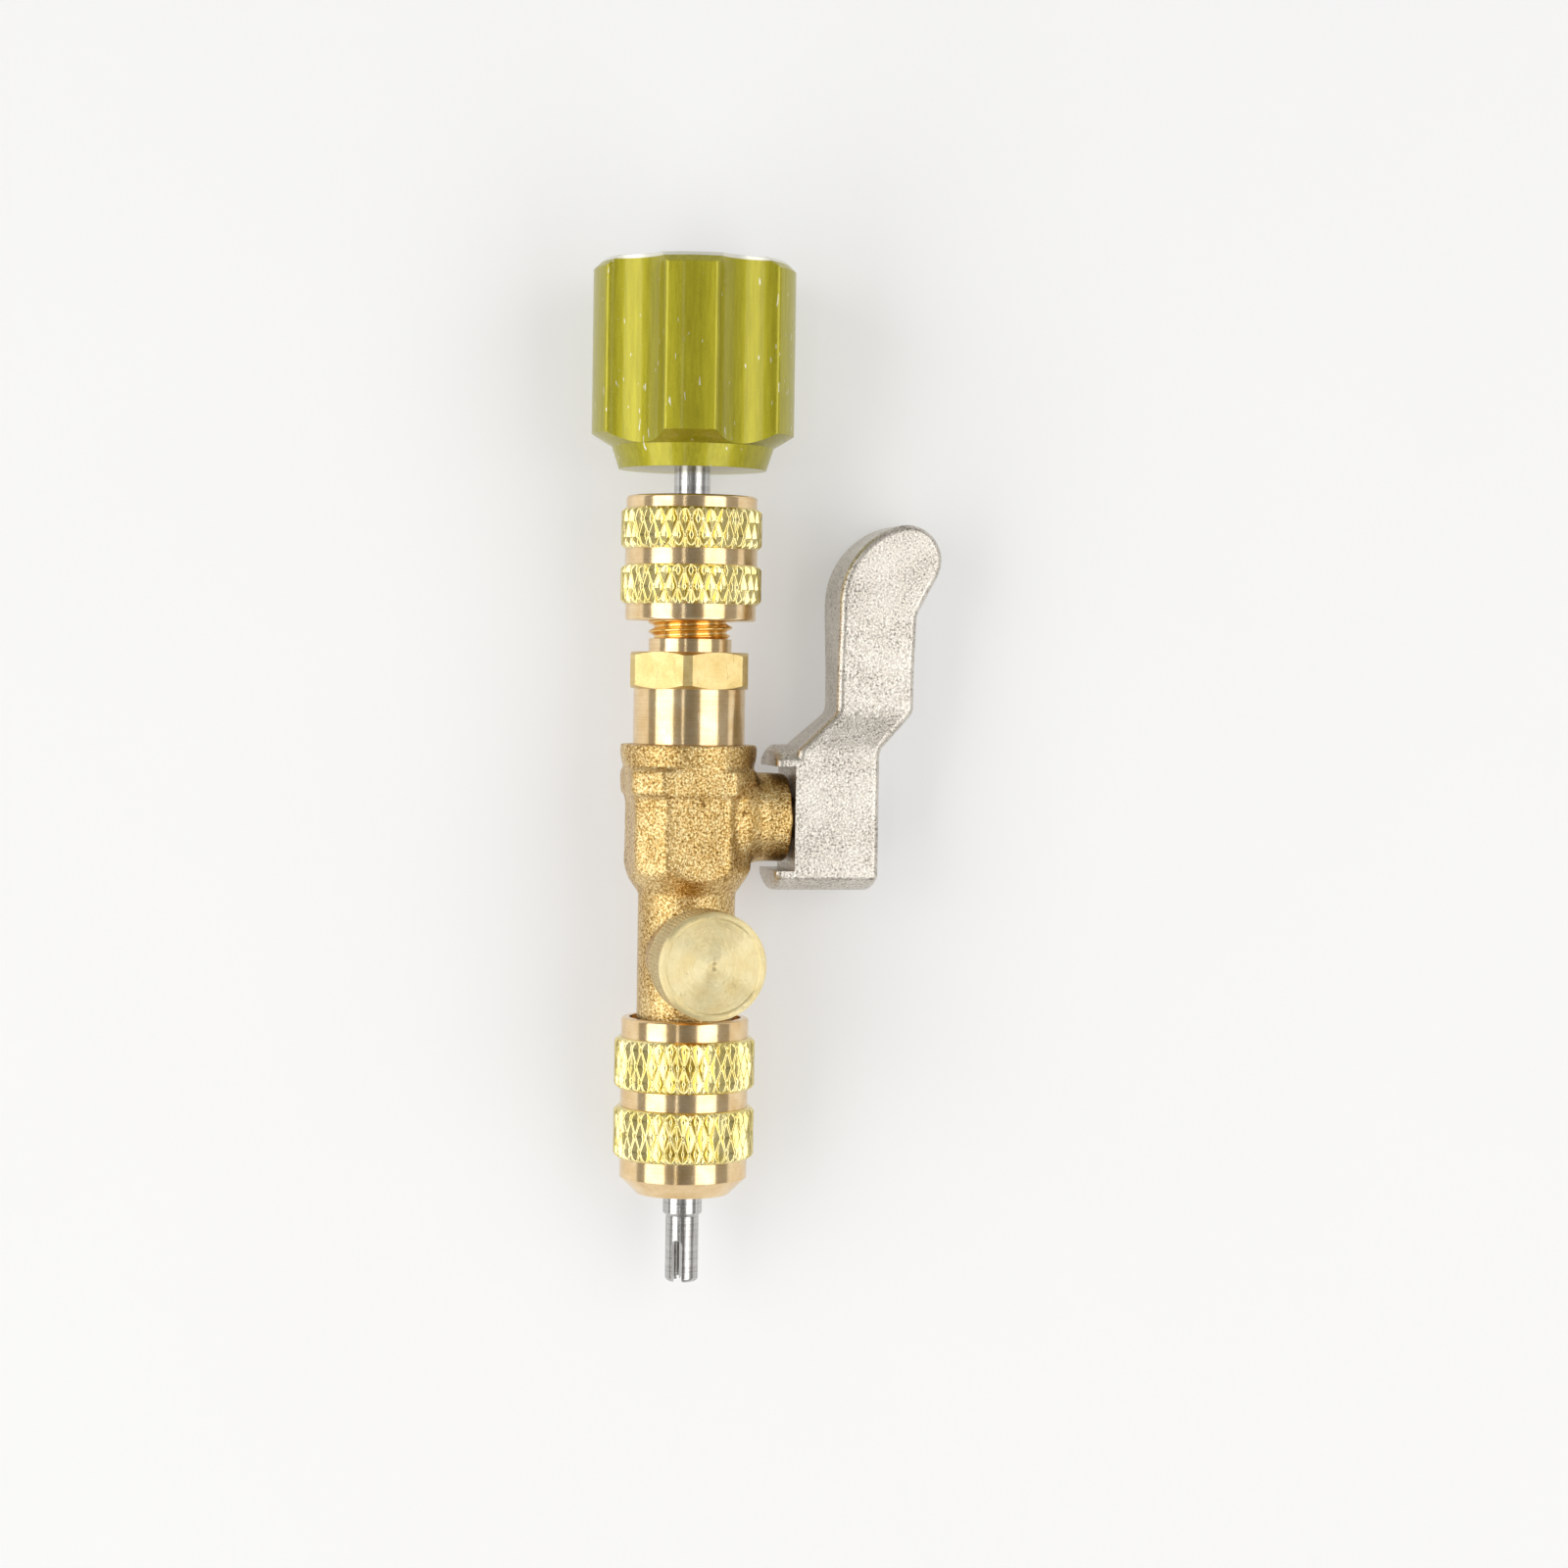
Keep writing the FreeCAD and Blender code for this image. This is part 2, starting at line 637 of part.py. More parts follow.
def knurl(name, low_alias, high_alias, row_alias):
    """A ring with a diamond knurl between two stations. One row of crests lies this far above its low end."""
    low = size(low_alias)
    high = size(high_alias)
    ridges = 2 * round(size("knurl_starts"))
    first = low + size(row_alias)
    step = size("knurl_row")
    outlines = []
    for row in range(math.floor((low - first) / step), math.ceil((high - first) / step)):
        for ridge in range(ridges):
            for corners in knurl_facets(ridge, row, ridges, first, step):
                outlines.append(between(between(corners, low, 1), high, -1))
    outlines += [rim(outlines, low), rim(outlines, high)]
    faces = [Part.Face(Part.makePolygon([*outline, outline[0]])) for outline in outlines if len(outline) > 2]
    skin = Part.makeShell(faces)
    skin.sewShape()
    inner = size("knurl_radius") - size("knurl_depth") - size("knurl_wall")
    ring = document.addObject("Part::Feature", name)
    core = Part.makeCylinder(inner, high - low, FreeCAD.Vector(0, low, 0), Y_WAY)
    ring.Shape = Part.makeSolid(skin).cut(core)
    return ring


def rim(outlines, station):
    """The outline that a knurl's facets leave on one of its flat ends."""
    points = {}
    for outline in outlines:
        for point in outline:
            if abs(point.y - station) < NEAR:
                points[round(math.atan2(point.x, point.z), RIM_DIGITS)] = point
    return [points[angle] for angle in sorted(points)]


def knurl_facets(ridge, row, ridges, first, step):
    """The two triangles between two ridges and two rows. Crests and grooves take turns along each row."""
    def corner(ridge, row):
        depth = size("knurl_depth") * ((ridge + row) % 2)
        angle = 2 * math.pi * (ridge % ridges) / ridges
        radius = size("knurl_radius") - depth
        return FreeCAD.Vector(radius * math.sin(angle), first + row * step, radius * math.cos(angle))
    near_low, far_low = corner(ridge, row), corner(ridge + 1, row)
    near_high, far_high = corner(ridge, row + 1), corner(ridge + 1, row + 1)
    if (ridge + row) % 2:
        return [(near_low, far_low, far_high), (near_low, far_high, near_high)]
    return [(near_low, far_low, near_high), (far_low, far_high, near_high)]


def between(corners, station, side):
    """The part of a flat outline on one side of a station: side is 1 to keep what is above it, -1 below."""
    kept = []
    for start, end in zip(corners, [*corners[1:], *corners[:1]]):
        start_in = side * (start.y - station) >= 0
        end_in = side * (end.y - station) >= 0
        if start_in:
            kept.append(start)
        if start_in != end_in:
            kept.append(start + (end - start) * ((station - start.y) / (end.y - start.y)))
    return [point for index, point in enumerate(kept) if (point - kept[index - 1]).Length > NEAR]


def make_upper_nut():
    """Knurled nut of the extractor: thread, seats for the bush and the rod's seal, hole for the rod."""
    blank = turned("upper_nut_blank", [
        ("thread_radius + running_gap", "upper_low + mouth_chamfer"),
        ("thread_radius + running_gap + mouth_chamfer", "upper_low"),
        ("upper_band_radius", "upper_low"), ("upper_band_radius", "upper_groove_low"),
        ("upper_groove_radius", "upper_groove_low"), ("upper_groove_radius", "upper_groove_high"),
        ("upper_band_radius", "upper_groove_high"), ("upper_band_radius", "upper_high"),
        ("rod_radius + running_gap", "upper_high"), ("rod_radius + running_gap", "cavity_top"),
        ("seal_cavity_radius", "cavity_top"), ("seal_cavity_radius", "bush_top"),
        ("bush_radius + seat_gap", "bush_top"), ("bush_radius + seat_gap", "gland_floor"),
        ("thread_radius + running_gap", "gland_floor")],
        {"nut_edge_round": [("upper_band_radius", "upper_low"), ("upper_band_radius", "upper_high")]})
    low_band = knurl("upper_nut_low_knurl", "upper_foot_top", "upper_groove_low", "upper_low_row")
    high_band = knurl("upper_nut_high_knurl", "upper_groove_high", "upper_rim_low", "upper_high_row")
    return join("upper_nut", blank, low_band, high_band)


def make_lower_nut():
    """Knurled swivel nut: it spins on the stub, and its thread takes the service port."""
    blank = turned("lower_nut_blank", [
        ("rim_recess_radius", "lower_high"), ("rim_recess_radius", "lower_high - rim_recess_depth"),
        ("stub_bore", "lower_high - rim_recess_depth"), ("stub_bore", "ring_high + ring_play"),
        ("ring_outer_radius + ring_play / 2", "ring_high + ring_play"),
        ("ring_outer_radius + ring_play / 2", "ring_low - ring_play"),
        ("stub_bore", "ring_low - ring_play"), ("stub_bore", "coupling_floor"),
        ("thread_radius + running_gap", "coupling_floor"),
        ("thread_radius + running_gap", "lower_low + mouth_chamfer"),
        ("thread_radius + running_gap + mouth_chamfer", "lower_low"),
        ("lower_end_radius", "lower_low"), ("lower_band_radius", "lower_foot_low"),
        ("lower_band_radius", "lower_high")],
        {"nut_edge_round": [("lower_band_radius", "lower_high")]})
    low_band = knurl("lower_nut_low_knurl", "lower_knurl_low", "lower_groove_low", "lower_row")
    high_band = knurl("lower_nut_high_knurl", "lower_groove_high", "lower_rim_low", "lower_row")
    return join("lower_nut", blank, low_band, high_band)


def make_knob():
    """Fluted knob with a tapered foot, a blind hole for the rod and a tapped hole for its screw."""
    body = turned("knob_blank", [
        ("rod_radius + seat_gap", "knob_low"), ("knob_foot_radius", "knob_low"),
        ("knob_waist_radius", "knob_waist"), ("knob_radius", "knob_grip_low"),
        ("knob_radius", "knob_chamfer_low"), ("knob_radius - knob_top_chamfer", "knob_high"),
        ("0", "knob_high"), ("0", "rod_high + seat_gap"), ("rod_radius + seat_gap", "rod_high + seat_gap")])
    flute = new_sketch(body, "flute_cutter", "XZ_Plane")
    draw_circle(flute, "0", "flute_centre", "flute_radius")
    cutter = pocket(body, "flute", flute, "4 * knob_high")
    repeat_about_axis(body, "flutes", cutter, "flute_count")
    document.recompute()
    round_edges(body, "soft_lobes", "lobe_round", lobe_edges(body.Shape))
    hole = document.addObject("Part::Cylinder", "screw_hole")
    bind(hole, Radius="set_screw_radius + seat_gap", Height="2 * knob_radius",
         Placement__Base__y="knob_low + set_screw_rise")
    return cut_away("knob", body, hole)


def lobe_edges(shape):
    """Names of the long edges where the knob's flutes meet its full radius."""
    names = []
    for number, edge in enumerate(shape.Edges, start=1):
        radius = math.hypot(edge.CenterOfMass.x, edge.CenterOfMass.z)
        if is_along(edge, Y_WAY) and abs(radius - size("knob_radius")) < NEAR:
            names.append(f"Edge{number}")
    return names


def make_knob_screw():
    """Headless screw that clamps the knob on the rod, with a six-sided socket in its outer end."""
    shank = document.addObject("Part::Cylinder", "screw_blank")
    bind(shank, Radius="set_screw_radius", Height="set_screw_length",
         Placement__Base__y="knob_low + set_screw_rise", Placement__Base__z="rod_radius")
    key = document.addObject("Part::Prism", "screw_key")
    bind(key, Polygon="hex_sides", Circumradius="set_screw_key", Height="set_screw_length",
         Placement__Base__y="knob_low + set_screw_rise",
         Placement__Base__z="rod_radius + set_screw_length / 2")
    return cut_away("knob_set_screw", shank, key)


def make_pull_rod():
    """Steel rod with a thicker lower head and a hollow tip slotted to grip the valve core."""
    body = turned("rod_blank", [
        ("0", "rod_high"), ("rod_radius", "rod_high"), ("rod_radius", "rod_head_high"),
        ("rod_head_radius", "rod_head_high"),
        ("rod_head_radius", "rod_head_low + ( rod_head_radius - tip_radius )"),
        ("tip_radius", "rod_head_low"), ("tip_radius", "rod_low"), ("tip_bore_radius", "rod_low"),
        ("tip_bore_radius", "magnet_face"), ("magnet_radius + seat_gap", "magnet_face"),
        ("magnet_radius + seat_gap", "rod_head_low"), ("0", "rod_head_low")],
        {"tip_round": [("tip_radius", "rod_low")]})
    slot = block("tip_slot", ("0 - tip_slot_width / 2", "rod_low - tip_length", "0 - 2 * tip_radius"),
                 ("tip_slot_width / 2", "slot_high - tip_slot_width / 2", "2 * tip_radius"))
    end = document.addObject("Part::Cylinder", "tip_slot_end")
    bind(end, Radius="tip_slot_width / 2", Height="4 * tip_radius",
         Placement__Base__y="slot_high - tip_slot_width / 2", Placement__Base__z="0 - 2 * tip_radius")
    return cut_away("pull_rod", body, slot, end)


def make_port_cap():
    """Round cap of the side port: thread, seat for its gasket, rounded rim, shallow turned face, dimple."""
    return turned("port_cap", [
        ("thread_radius + running_gap", "cap_bottom + mouth_chamfer"),
        ("thread_radius + running_gap + mouth_chamfer", "cap_bottom"),
        ("cap_radius", "cap_bottom"), ("cap_radius", "cap_top"),
        ("cap_face_radius", "cap_top"), ("cap_face_radius - cap_face_depth", "cap_top - cap_face_depth"),
        ("cap_dimple_radius", "cap_top - cap_face_depth"),
        ("0", "cap_top - cap_face_depth - cap_dimple_depth"), ("0", "cap_floor"),
        ("thread_radius + running_gap", "cap_floor")],
        {"cap_rim_round": [("cap_radius", "cap_top")]})


def lever_side():
    """Side outline of the crank, arm and paddle of the lever, in X and Y."""
    left = size("arm_left")
    right = size("arm_right")
    arc_centre = FreeCAD.Vector(left + size("paddle_arc_radius"), size("paddle_arc_start"), 0)
    tip_centre = arc_centre + FreeCAD.Vector(-size("paddle_tip_out"), size("paddle_tip_up"), 0)
    towards_tip = tip_centre - arc_centre
    tip_radius = size("paddle_arc_radius") - towards_tip.Length
    joint = tip_centre + towards_tip.normalize() * tip_radius
    waist = FreeCAD.Vector(right, size("paddle_waist"), 0)
    leave = tangent_point(waist, tip_centre, tip_radius)
    foot_left = FreeCAD.Vector(size("hub_inner") + size("crank_left"), size("crank_start"), 0)
    foot_right = FreeCAD.Vector(size("hub_outer"), size("crank_start"), 0)
    deep_left = FreeCAD.Vector(foot_left.x, 0, 0)
    deep_right = FreeCAD.Vector(foot_right.x, 0, 0)
    bend_left = FreeCAD.Vector(left, size("arm_bottom"), 0)
    bend_right = FreeCAD.Vector(right, size("arm_bottom"), 0)
    arc_start = FreeCAD.Vector(left, arc_centre.y, 0)
    arc_middle = on_circle(arc_centre, size("paddle_arc_radius"), arc_start, joint)
    tip_middle = on_circle(tip_centre, tip_radius, joint, leave)
    runs = [Part.LineSegment(deep_right, deep_left), Part.LineSegment(deep_left, foot_left),
            Part.LineSegment(foot_left, bend_left), Part.LineSegment(bend_left, arc_start),
            Part.Arc(arc_start, arc_middle, joint), Part.Arc(joint, tip_middle, leave),
            Part.LineSegment(leave, waist), Part.LineSegment(waist, bend_right),
            Part.LineSegment(bend_right, foot_right), Part.LineSegment(foot_right, deep_right)]
    return Part.Face(Part.Wire([run.toShape() for run in runs]))


def tangent_point(point, centre, radius):
    """Where the line from a point touches a circle, on the circle's right-hand side."""
    reach = centre - point
    swing = math.asin(radius / reach.Length)
    length = math.sqrt(reach.Length ** 2 - radius ** 2)
    heading = math.atan2(reach.y, reach.x) - swing
    return point + FreeCAD.Vector(math.cos(heading), math.sin(heading), 0) * length


def on_circle(centre, radius, start, end):
    """The point halfway along the clockwise arc between two points of a circle."""
    first = math.atan2(start.y - centre.y, start.x - centre.x)
    last = math.atan2(end.y - centre.y, end.x - centre.x)
    if last > first:
        last -= 2 * math.pi
    middle = (first + last) / 2
    return centre + FreeCAD.Vector(math.cos(middle), math.sin(middle), 0) * radius


def thickness_steps():
    """Where the lever's half thickness changes, and what it is there."""
    return [(size("crank_start"), size("hub_half_width")), (size("arm_bottom"), size("arm_half_width")),
            (size("arm_crease"), size("arm_half_width")), (size("paddle_waist"), size("paddle_half_width"))]


def lever_thickness():
    """Edge outline of the crank, arm and paddle of the lever, in Y and Z."""
    tip = size("paddle_arc_start") + size("paddle_arc_radius")
    front = [(0, size("hub_half_width"))] + thickness_steps() + [(tip, size("paddle_half_width"))]
    back = [(along, -across) for along, across in reversed(front)]
    points = [FreeCAD.Vector(0, along, across) for along, across in front + back]
    return Part.Face(Part.makePolygon(points + points[:1]))


def soften(prism, along, corners, alias):
    """Round those straight edges of a prism that run along it through these corners."""
    edges = []
    for edge in prism.Edges:
        for corner in corners:
            apart = edge.CenterOfMass - corner
            if (apart - along * apart.dot(along)).Length < NEAR and is_along(edge, along):
                edges.append(edge)
    return prism.makeFillet(size(alias), edges)


def is_along(edge, way):
    """Whether an edge is straight and runs in this direction."""
    return isinstance(edge.Curve, Part.Line) and edge.Curve.Direction.cross(way).Length < NEAR


def lever_arm():
    """Crank, arm and paddle of the lever, with soft bends and rounded edges to its front and back."""
    deep = size("hub_half_width")
    side = lever_side()
    side.translate(FreeCAD.Vector(0, 0, -2 * deep))
    outline = soften(side.extrude(FreeCAD.Vector(0, 0, 4 * deep)), Z_WAY, lever_bends(), "crank_round")
    edge_on = lever_thickness().extrude(FreeCAD.Vector(2 * size("hub_outer"), 0, 0))
    arm = outline.common(soften(edge_on, X_WAY, lever_creases(), "crease_round"))
    return arm.makeFillet(size("hub_edge_round"), [edge for edge in arm.Edges if is_outline(edge)])


def lever_bends():
    """Corners of the lever's side outline that the casting has soft."""
    inner = size("hub_inner") + size("crank_left")
    return [FreeCAD.Vector(inner, size("crank_start"), 0),
            FreeCAD.Vector(size("hub_outer"), size("crank_start"), 0),
            FreeCAD.Vector(size("arm_left"), size("arm_bottom"), 0),
            FreeCAD.Vector(size("arm_right"), size("arm_bottom"), 0),
            FreeCAD.Vector(size("arm_right"), size("paddle_waist"), 0)]


def lever_creases():
    """Corners of the lever's edge outline, front and back."""
    return [FreeCAD.Vector(0, along, side * across) for along, across in thickness_steps()
            for side in (1, -1)]


def is_outline(edge):
    """Whether an edge of the lever's arm lies on its front or back outline, and isn't a crease."""
    return abs(edge.CenterOfMass.z) > size("hub_edge_round") and not is_along(edge, X_WAY)


def lever_hub():
    """Round hub of the lever with two flats, all edges rounded, and a channel that leaves two ears."""
    deep = size("hub_half_width")
    ear_end = size("hub_inner") - size("ear_reach")
    hub = Part.makeCylinder(size("hub_radius"), size("hub_outer") - ear_end,
                            FreeCAD.Vector(ear_end, 0, 0), X_WAY)
    slab = Part.makeBox(2 * size("hub_outer"), 4 * size("hub_radius"), 2 * deep,
                        FreeCAD.Vector(0, -2 * size("hub_radius"), -deep))
    hub = hub.common(slab)
    hub = hub.makeFillet(size("hub_edge_round"), hub.Edges)
    channel = Part.makeBox(size("ear_reach"), 2 * size("ear_inner"), 4 * deep,
                           FreeCAD.Vector(ear_end, -size("ear_inner"), -2 * deep))
    return hub.cut(channel)


def make_lever():
    """Cast lever: hub with two ears, crank, arm and thumb paddle, hole for the stem, screw recess."""
    bore = Part.makeCylinder(size("stem_radius") + size("seat_gap"), size("hub_length"),
                             FreeCAD.Vector(size("hub_inner"), 0, 0), X_WAY)
    flat = size("stem_flat") + size("seat_gap")
    half = size("hub_half_width")
    flats = Part.makeBox(size("hub_length"), 2 * half, 2 * flat,
                         FreeCAD.Vector(size("hub_inner"), -half, -flat))
    recess = Part.makeCylinder(size("screw_recess_radius"), size("hub_length"),
                               FreeCAD.Vector(size("recess_floor"), 0, 0), X_WAY)
    lever = document.addObject("Part::Feature", "lever")
    lever.Shape = lever_hub().fuse(lever_arm()).cut(bore.common(flats)).cut(recess)
    return lever


def make_lever_screw():
    """Pan-headed screw in the end of the hub, with a straight driving slot."""
    blank = turned("lever_screw_blank", [
        ("0", "screw_seat - screw_shank_length"), ("screw_shank_radius", "screw_seat - screw_shank_length"),
        ("screw_shank_radius", "screw_seat"), ("screw_head_radius", "screw_seat"),
        ("screw_head_radius", "screw_seat + screw_head_height / 2"),
        ("screw_head_radius - screw_head_height / 2", "screw_seat + screw_head_height"),
        ("0", "screw_seat + screw_head_height")])
    blank.Placement.Rotation = OUT_THE_STEM
    slot = block("lever_screw_slot",
                 ("screw_seat + screw_head_height - screw_slot_depth", "0 - 2 * screw_head_radius",
                  "0 - screw_slot_width / 2"),
                 ("2 * hub_outer", "2 * screw_head_radius", "screw_slot_width / 2"))
    return cut_away("lever_screw", blank, slot)


def washer(name, inner, outer, low, high):
    """A flat ring about its own Y axis."""
    return turned(name, [(inner, low), (outer, low), (outer, high), (inner, high)])


def make_round_seals():
    """The rings of round section: rod, top fitting and the two of the stem."""
    half_adapter = "adapter_seal_thickness / 2"
    half_stem = "stem_seal_thickness / 2"
    return {
        "rod_seal": round_ring("rod_seal", "( seal_cavity_radius + rod_radius ) / 2",
                               "( seal_cavity_radius - rod_radius ) / 2 - running_gap"),
        "adapter_seal": round_ring("adapter_seal", f"socket_radius - {half_adapter}", half_adapter),
        "stem_seal_inner": round_ring("stem_seal_inner", f"stem_radius - {half_stem}", half_stem),
        "stem_seal_outer": round_ring("stem_seal_outer", f"stem_radius - {half_stem}", half_stem),
    }


def make_flat_rings():
    """The washers, gaskets and the bush."""
    return {
        "coupling_gasket": washer("coupling_gasket", "through_radius + running_gap",
                                  "thread_radius - running_gap", "stub_low - coupling_gasket_thickness",
                                  "stub_low"),
        "flare_gasket": washer("flare_gasket", "through_radius + running_gap",
                               "thread_radius - running_gap", "nose_top", "gland_floor"),
        "gland_bush": washer("gland_bush", "rod_radius + running_gap", "bush_radius", "gland_floor",
                             "bush_top"),
        "cap_gasket": washer("cap_gasket", "0", "thread_radius - running_gap", "port_nose_reach",
                             "cap_floor"),
        "stem_thrust_washer": washer("stem_thrust_washer", "stem_bore", "stem_flange_radius",
                                     "flange_top", "boss_floor"),
        "lever_lock_washer": washer("lever_lock_washer", "screw_shank_radius + seat_gap",
                                    "screw_washer_radius", "recess_floor", "screw_seat"),
        "core_grip_magnet": washer("core_grip_magnet", "0", "magnet_radius", "magnet_face",
                                   "rod_head_low"),
    }


def in_tool(way=UP_THE_TOOL, station=0, drop=0):
    """Where a piece lies in the tool's frame: the way its axis points, and how far along it sits."""
    return FreeCAD.Placement(way * FreeCAD.Vector(0, station, 0) + FreeCAD.Vector(0, drop, 0), way)


def ring_in_tool(station, way=UP_THE_TOOL):
    """Where a ring of round section lies, about the axis of that way at a station."""
    return in_tool(way, station) * FreeCAD.Placement(FreeCAD.Vector(), FreeCAD.Rotation(X_WAY, 90))


def turned_in_tool(angle):
    """Where a piece lies that is turned about the tool's long axis."""
    return FreeCAD.Placement(FreeCAD.Vector(), FreeCAD.Rotation(Y_WAY, angle))


def lobe_drop():
    """How far below the axis the knob rests on its two lowest lobes, with a flute between them."""
    soft = size("lobe_round")
    radius = size("knob_radius") - soft
    centre = size("flute_centre")
    flute = size("flute_radius") + soft
    half_flute = math.acos((radius ** 2 + centre ** 2 - flute ** 2) / (2 * radius * centre))
    return radius * math.cos(half_flute) + soft


def resting_angles():
    """Tilt and roll in degrees with which the tool lies on its knob, its lower nut and its lever."""
    rise = lobe_drop() - size("knurl_radius")
    tilt = math.atan2(rise, size("knob_grip_low") - size("lower_knurl_low"))
    axis_height = size("knurl_radius") * math.cos(tilt) - size("lower_knurl_low") * math.sin(tilt)
    edge = size("hub_edge_round")
    half = size("hub_half_width")
    hub_end = math.sqrt(size("hub_radius") ** 2 - half ** 2) - edge
    drop = (axis_height - hub_end * math.sin(tilt)) / math.cos(tilt)
    reach = math.hypot(size("hub_outer") - edge, half - edge)
    roll = math.asin((drop - edge) / reach) - math.atan2(half - edge, size("hub_outer") - edge)
    return math.degrees(tilt), math.degrees(roll)


def assemble():
    """Every sub-part with its place in the tool's frame."""
    roll = resting_angles()[1]
    knob_place = turned_in_tool(180 - roll)
    round_seals = make_round_seals()
    flat_rings = make_flat_rings()
    tool = in_tool()
    stem = in_tool(OUT_THE_STEM)
    port = in_tool(OUT_THE_PORT, 0, size("port_station"))
    groove_middle = size("stem_groove_width") / 2
    adapter_groove = size("seat_back") + size("adapter_groove_rise") + size("adapter_groove_width") / 2
    return {
        "valve_body": (make_valve_body(), tool),
        "flare_adapter": (make_flare_adapter(), turned_in_tool(-roll)),
        "adapter_seal": (round_seals["adapter_seal"], ring_in_tool(adapter_groove)),
        "upper_ball_seat": (make_ball_seat("upper_ball_seat", 1), tool),
        "lower_ball_seat": (make_ball_seat("lower_ball_seat", -1), tool),
        "ball": (make_ball(), tool),
        "valve_stem": (make_valve_stem(), tool),
        "stem_thrust_washer": (flat_rings["stem_thrust_washer"], stem),
        "stem_seal_inner": (round_seals["stem_seal_inner"],
                            ring_in_tool(size("stem_groove_first") + groove_middle, OUT_THE_STEM)),
        "stem_seal_outer": (round_seals["stem_seal_outer"],
                            ring_in_tool(size("stem_groove_second") + groove_middle, OUT_THE_STEM)),
        "lever": (make_lever(), tool),
        "lever_lock_washer": (flat_rings["lever_lock_washer"], stem),
        "lever_screw": (make_lever_screw(), tool),
        "flare_gasket": (flat_rings["flare_gasket"], tool),
        "upper_nut": (make_upper_nut(), tool),
        "gland_bush": (flat_rings["gland_bush"], tool),
        "rod_seal": (round_seals["rod_seal"], ring_in_tool((size("bush_top") + size("cavity_top")) / 2)),
        "knob": (make_knob(), knob_place),
        "knob_set_screw": (make_knob_screw(), knob_place),
        "pull_rod": (make_pull_rod(), turned_in_tool(-size("tip_turn") - roll)),
        "core_grip_magnet": (flat_rings["core_grip_magnet"], tool),
        "cap_gasket": (flat_rings["cap_gasket"], port),
        "port_cap": (make_port_cap(), port),
        "nut_retaining_ring": (make_retaining_ring(), tool),
        "coupling_gasket": (flat_rings["coupling_gasket"], tool),
        "lower_nut": (make_lower_nut(), tool),
    }


def lay_down(pieces):
    """Tilt and roll the tool to its resting place, with the middle of its footprint at the origin."""
    tilt, roll = resting_angles()
    turn = FreeCAD.Rotation(X_WAY, tilt) * FreeCAD.Rotation(Y_WAY, roll)
    resting = FreeCAD.Placement(FreeCAD.Vector(), turn)
    for piece, place_in_tool in pieces.values():
        piece.Placement = resting * place_in_tool
    document.recompute()
    box = Part.makeCompound([piece.Shape for piece, _ in pieces.values()]).optimalBoundingBox(False, False)
    shift = FreeCAD.Vector(-box.Center.x, -box.Center.y, -box.ZMin)
    for piece, _ in pieces.values():
        piece.Placement.Base = piece.Placement.Base + shift
    document.recompute()
    return FreeCAD.Placement(shift, turn)


def check(pieces):
    """Stop if any object failed or any sub-part isn't one or more sound solids."""
    for item in document.Objects:
        if "Invalid" in item.State or "Error" in item.State:
            raise RuntimeError(f"{item.Name} failed: {item.State}")
    for name, (piece, _) in pieces.items():
        if piece.Shape.isNull() or not piece.Shape.isValid() or not piece.Shape.Solids:
            raise RuntimeError(f"{name} has no sound solid")


def write(pieces):
    """One STEP file for each sub-part."""
    os.makedirs("parts", exist_ok=True)
    for name, (piece, _) in pieces.items():
        piece.Label = name
        piece.Shape.exportStep(os.path.join("parts", name + ".step"))


pieces = assemble()
resting_place = lay_down(pieces)
check(pieces)
write(pieces)
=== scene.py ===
import json
import math

import bmesh
import bpy
from mathutils import Matrix, Vector, noise as field


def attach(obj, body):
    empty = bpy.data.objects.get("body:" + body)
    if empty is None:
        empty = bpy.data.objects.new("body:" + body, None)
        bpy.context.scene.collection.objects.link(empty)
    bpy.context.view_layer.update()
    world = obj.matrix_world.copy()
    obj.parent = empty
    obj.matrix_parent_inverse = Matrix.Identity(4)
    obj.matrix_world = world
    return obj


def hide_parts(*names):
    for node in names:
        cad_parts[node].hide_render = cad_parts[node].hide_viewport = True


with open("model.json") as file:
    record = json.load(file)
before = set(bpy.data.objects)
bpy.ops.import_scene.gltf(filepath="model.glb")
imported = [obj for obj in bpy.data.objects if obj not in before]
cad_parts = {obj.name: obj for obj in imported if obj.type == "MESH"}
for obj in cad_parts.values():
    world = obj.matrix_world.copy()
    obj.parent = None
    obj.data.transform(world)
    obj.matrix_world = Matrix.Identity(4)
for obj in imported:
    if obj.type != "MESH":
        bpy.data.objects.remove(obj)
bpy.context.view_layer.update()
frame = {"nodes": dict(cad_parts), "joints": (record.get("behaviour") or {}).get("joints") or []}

# Valve core removal tool on a pale table, seen from straight above.
# Blender works in metres. Names that end in _MM are millimetres in one of two frames of the tool's own. TOOL
# has the ball's centre as its origin, Y along the tool towards the knob and X out along the lever's stem.
# PORT has Y out along the side port.

MM = 0.001
NEAR_MM = 0.02

joints = {joint["name"]: joint for joint in frame["joints"]}
BALL_CENTRE = Vector(joints["lever_turn"]["pos_m"])
STEM_WAY = Vector(joints["lever_turn"]["axis"])
TOOL_WAY = Vector(joints["rod_slide"]["axis"])
PORT_WAY = Vector(joints["cap_turn"]["axis"])
PORT_START = BALL_CENTRE + TOOL_WAY * (Vector(joints["cap_turn"]["pos_m"]) - BALL_CENTRE).dot(TOOL_WAY)


def frame_about(origin, across, along):
    """A frame whose Y axis runs along a way, with its X axis across it."""
    turn = Matrix((across, along, across.cross(along))).transposed().to_4x4()
    return Matrix.Translation(origin) @ turn


TOOL = frame_about(BALL_CENTRE, STEM_WAY, TOOL_WAY)
PORT = frame_about(PORT_START, STEM_WAY, PORT_WAY)


# Node helpers

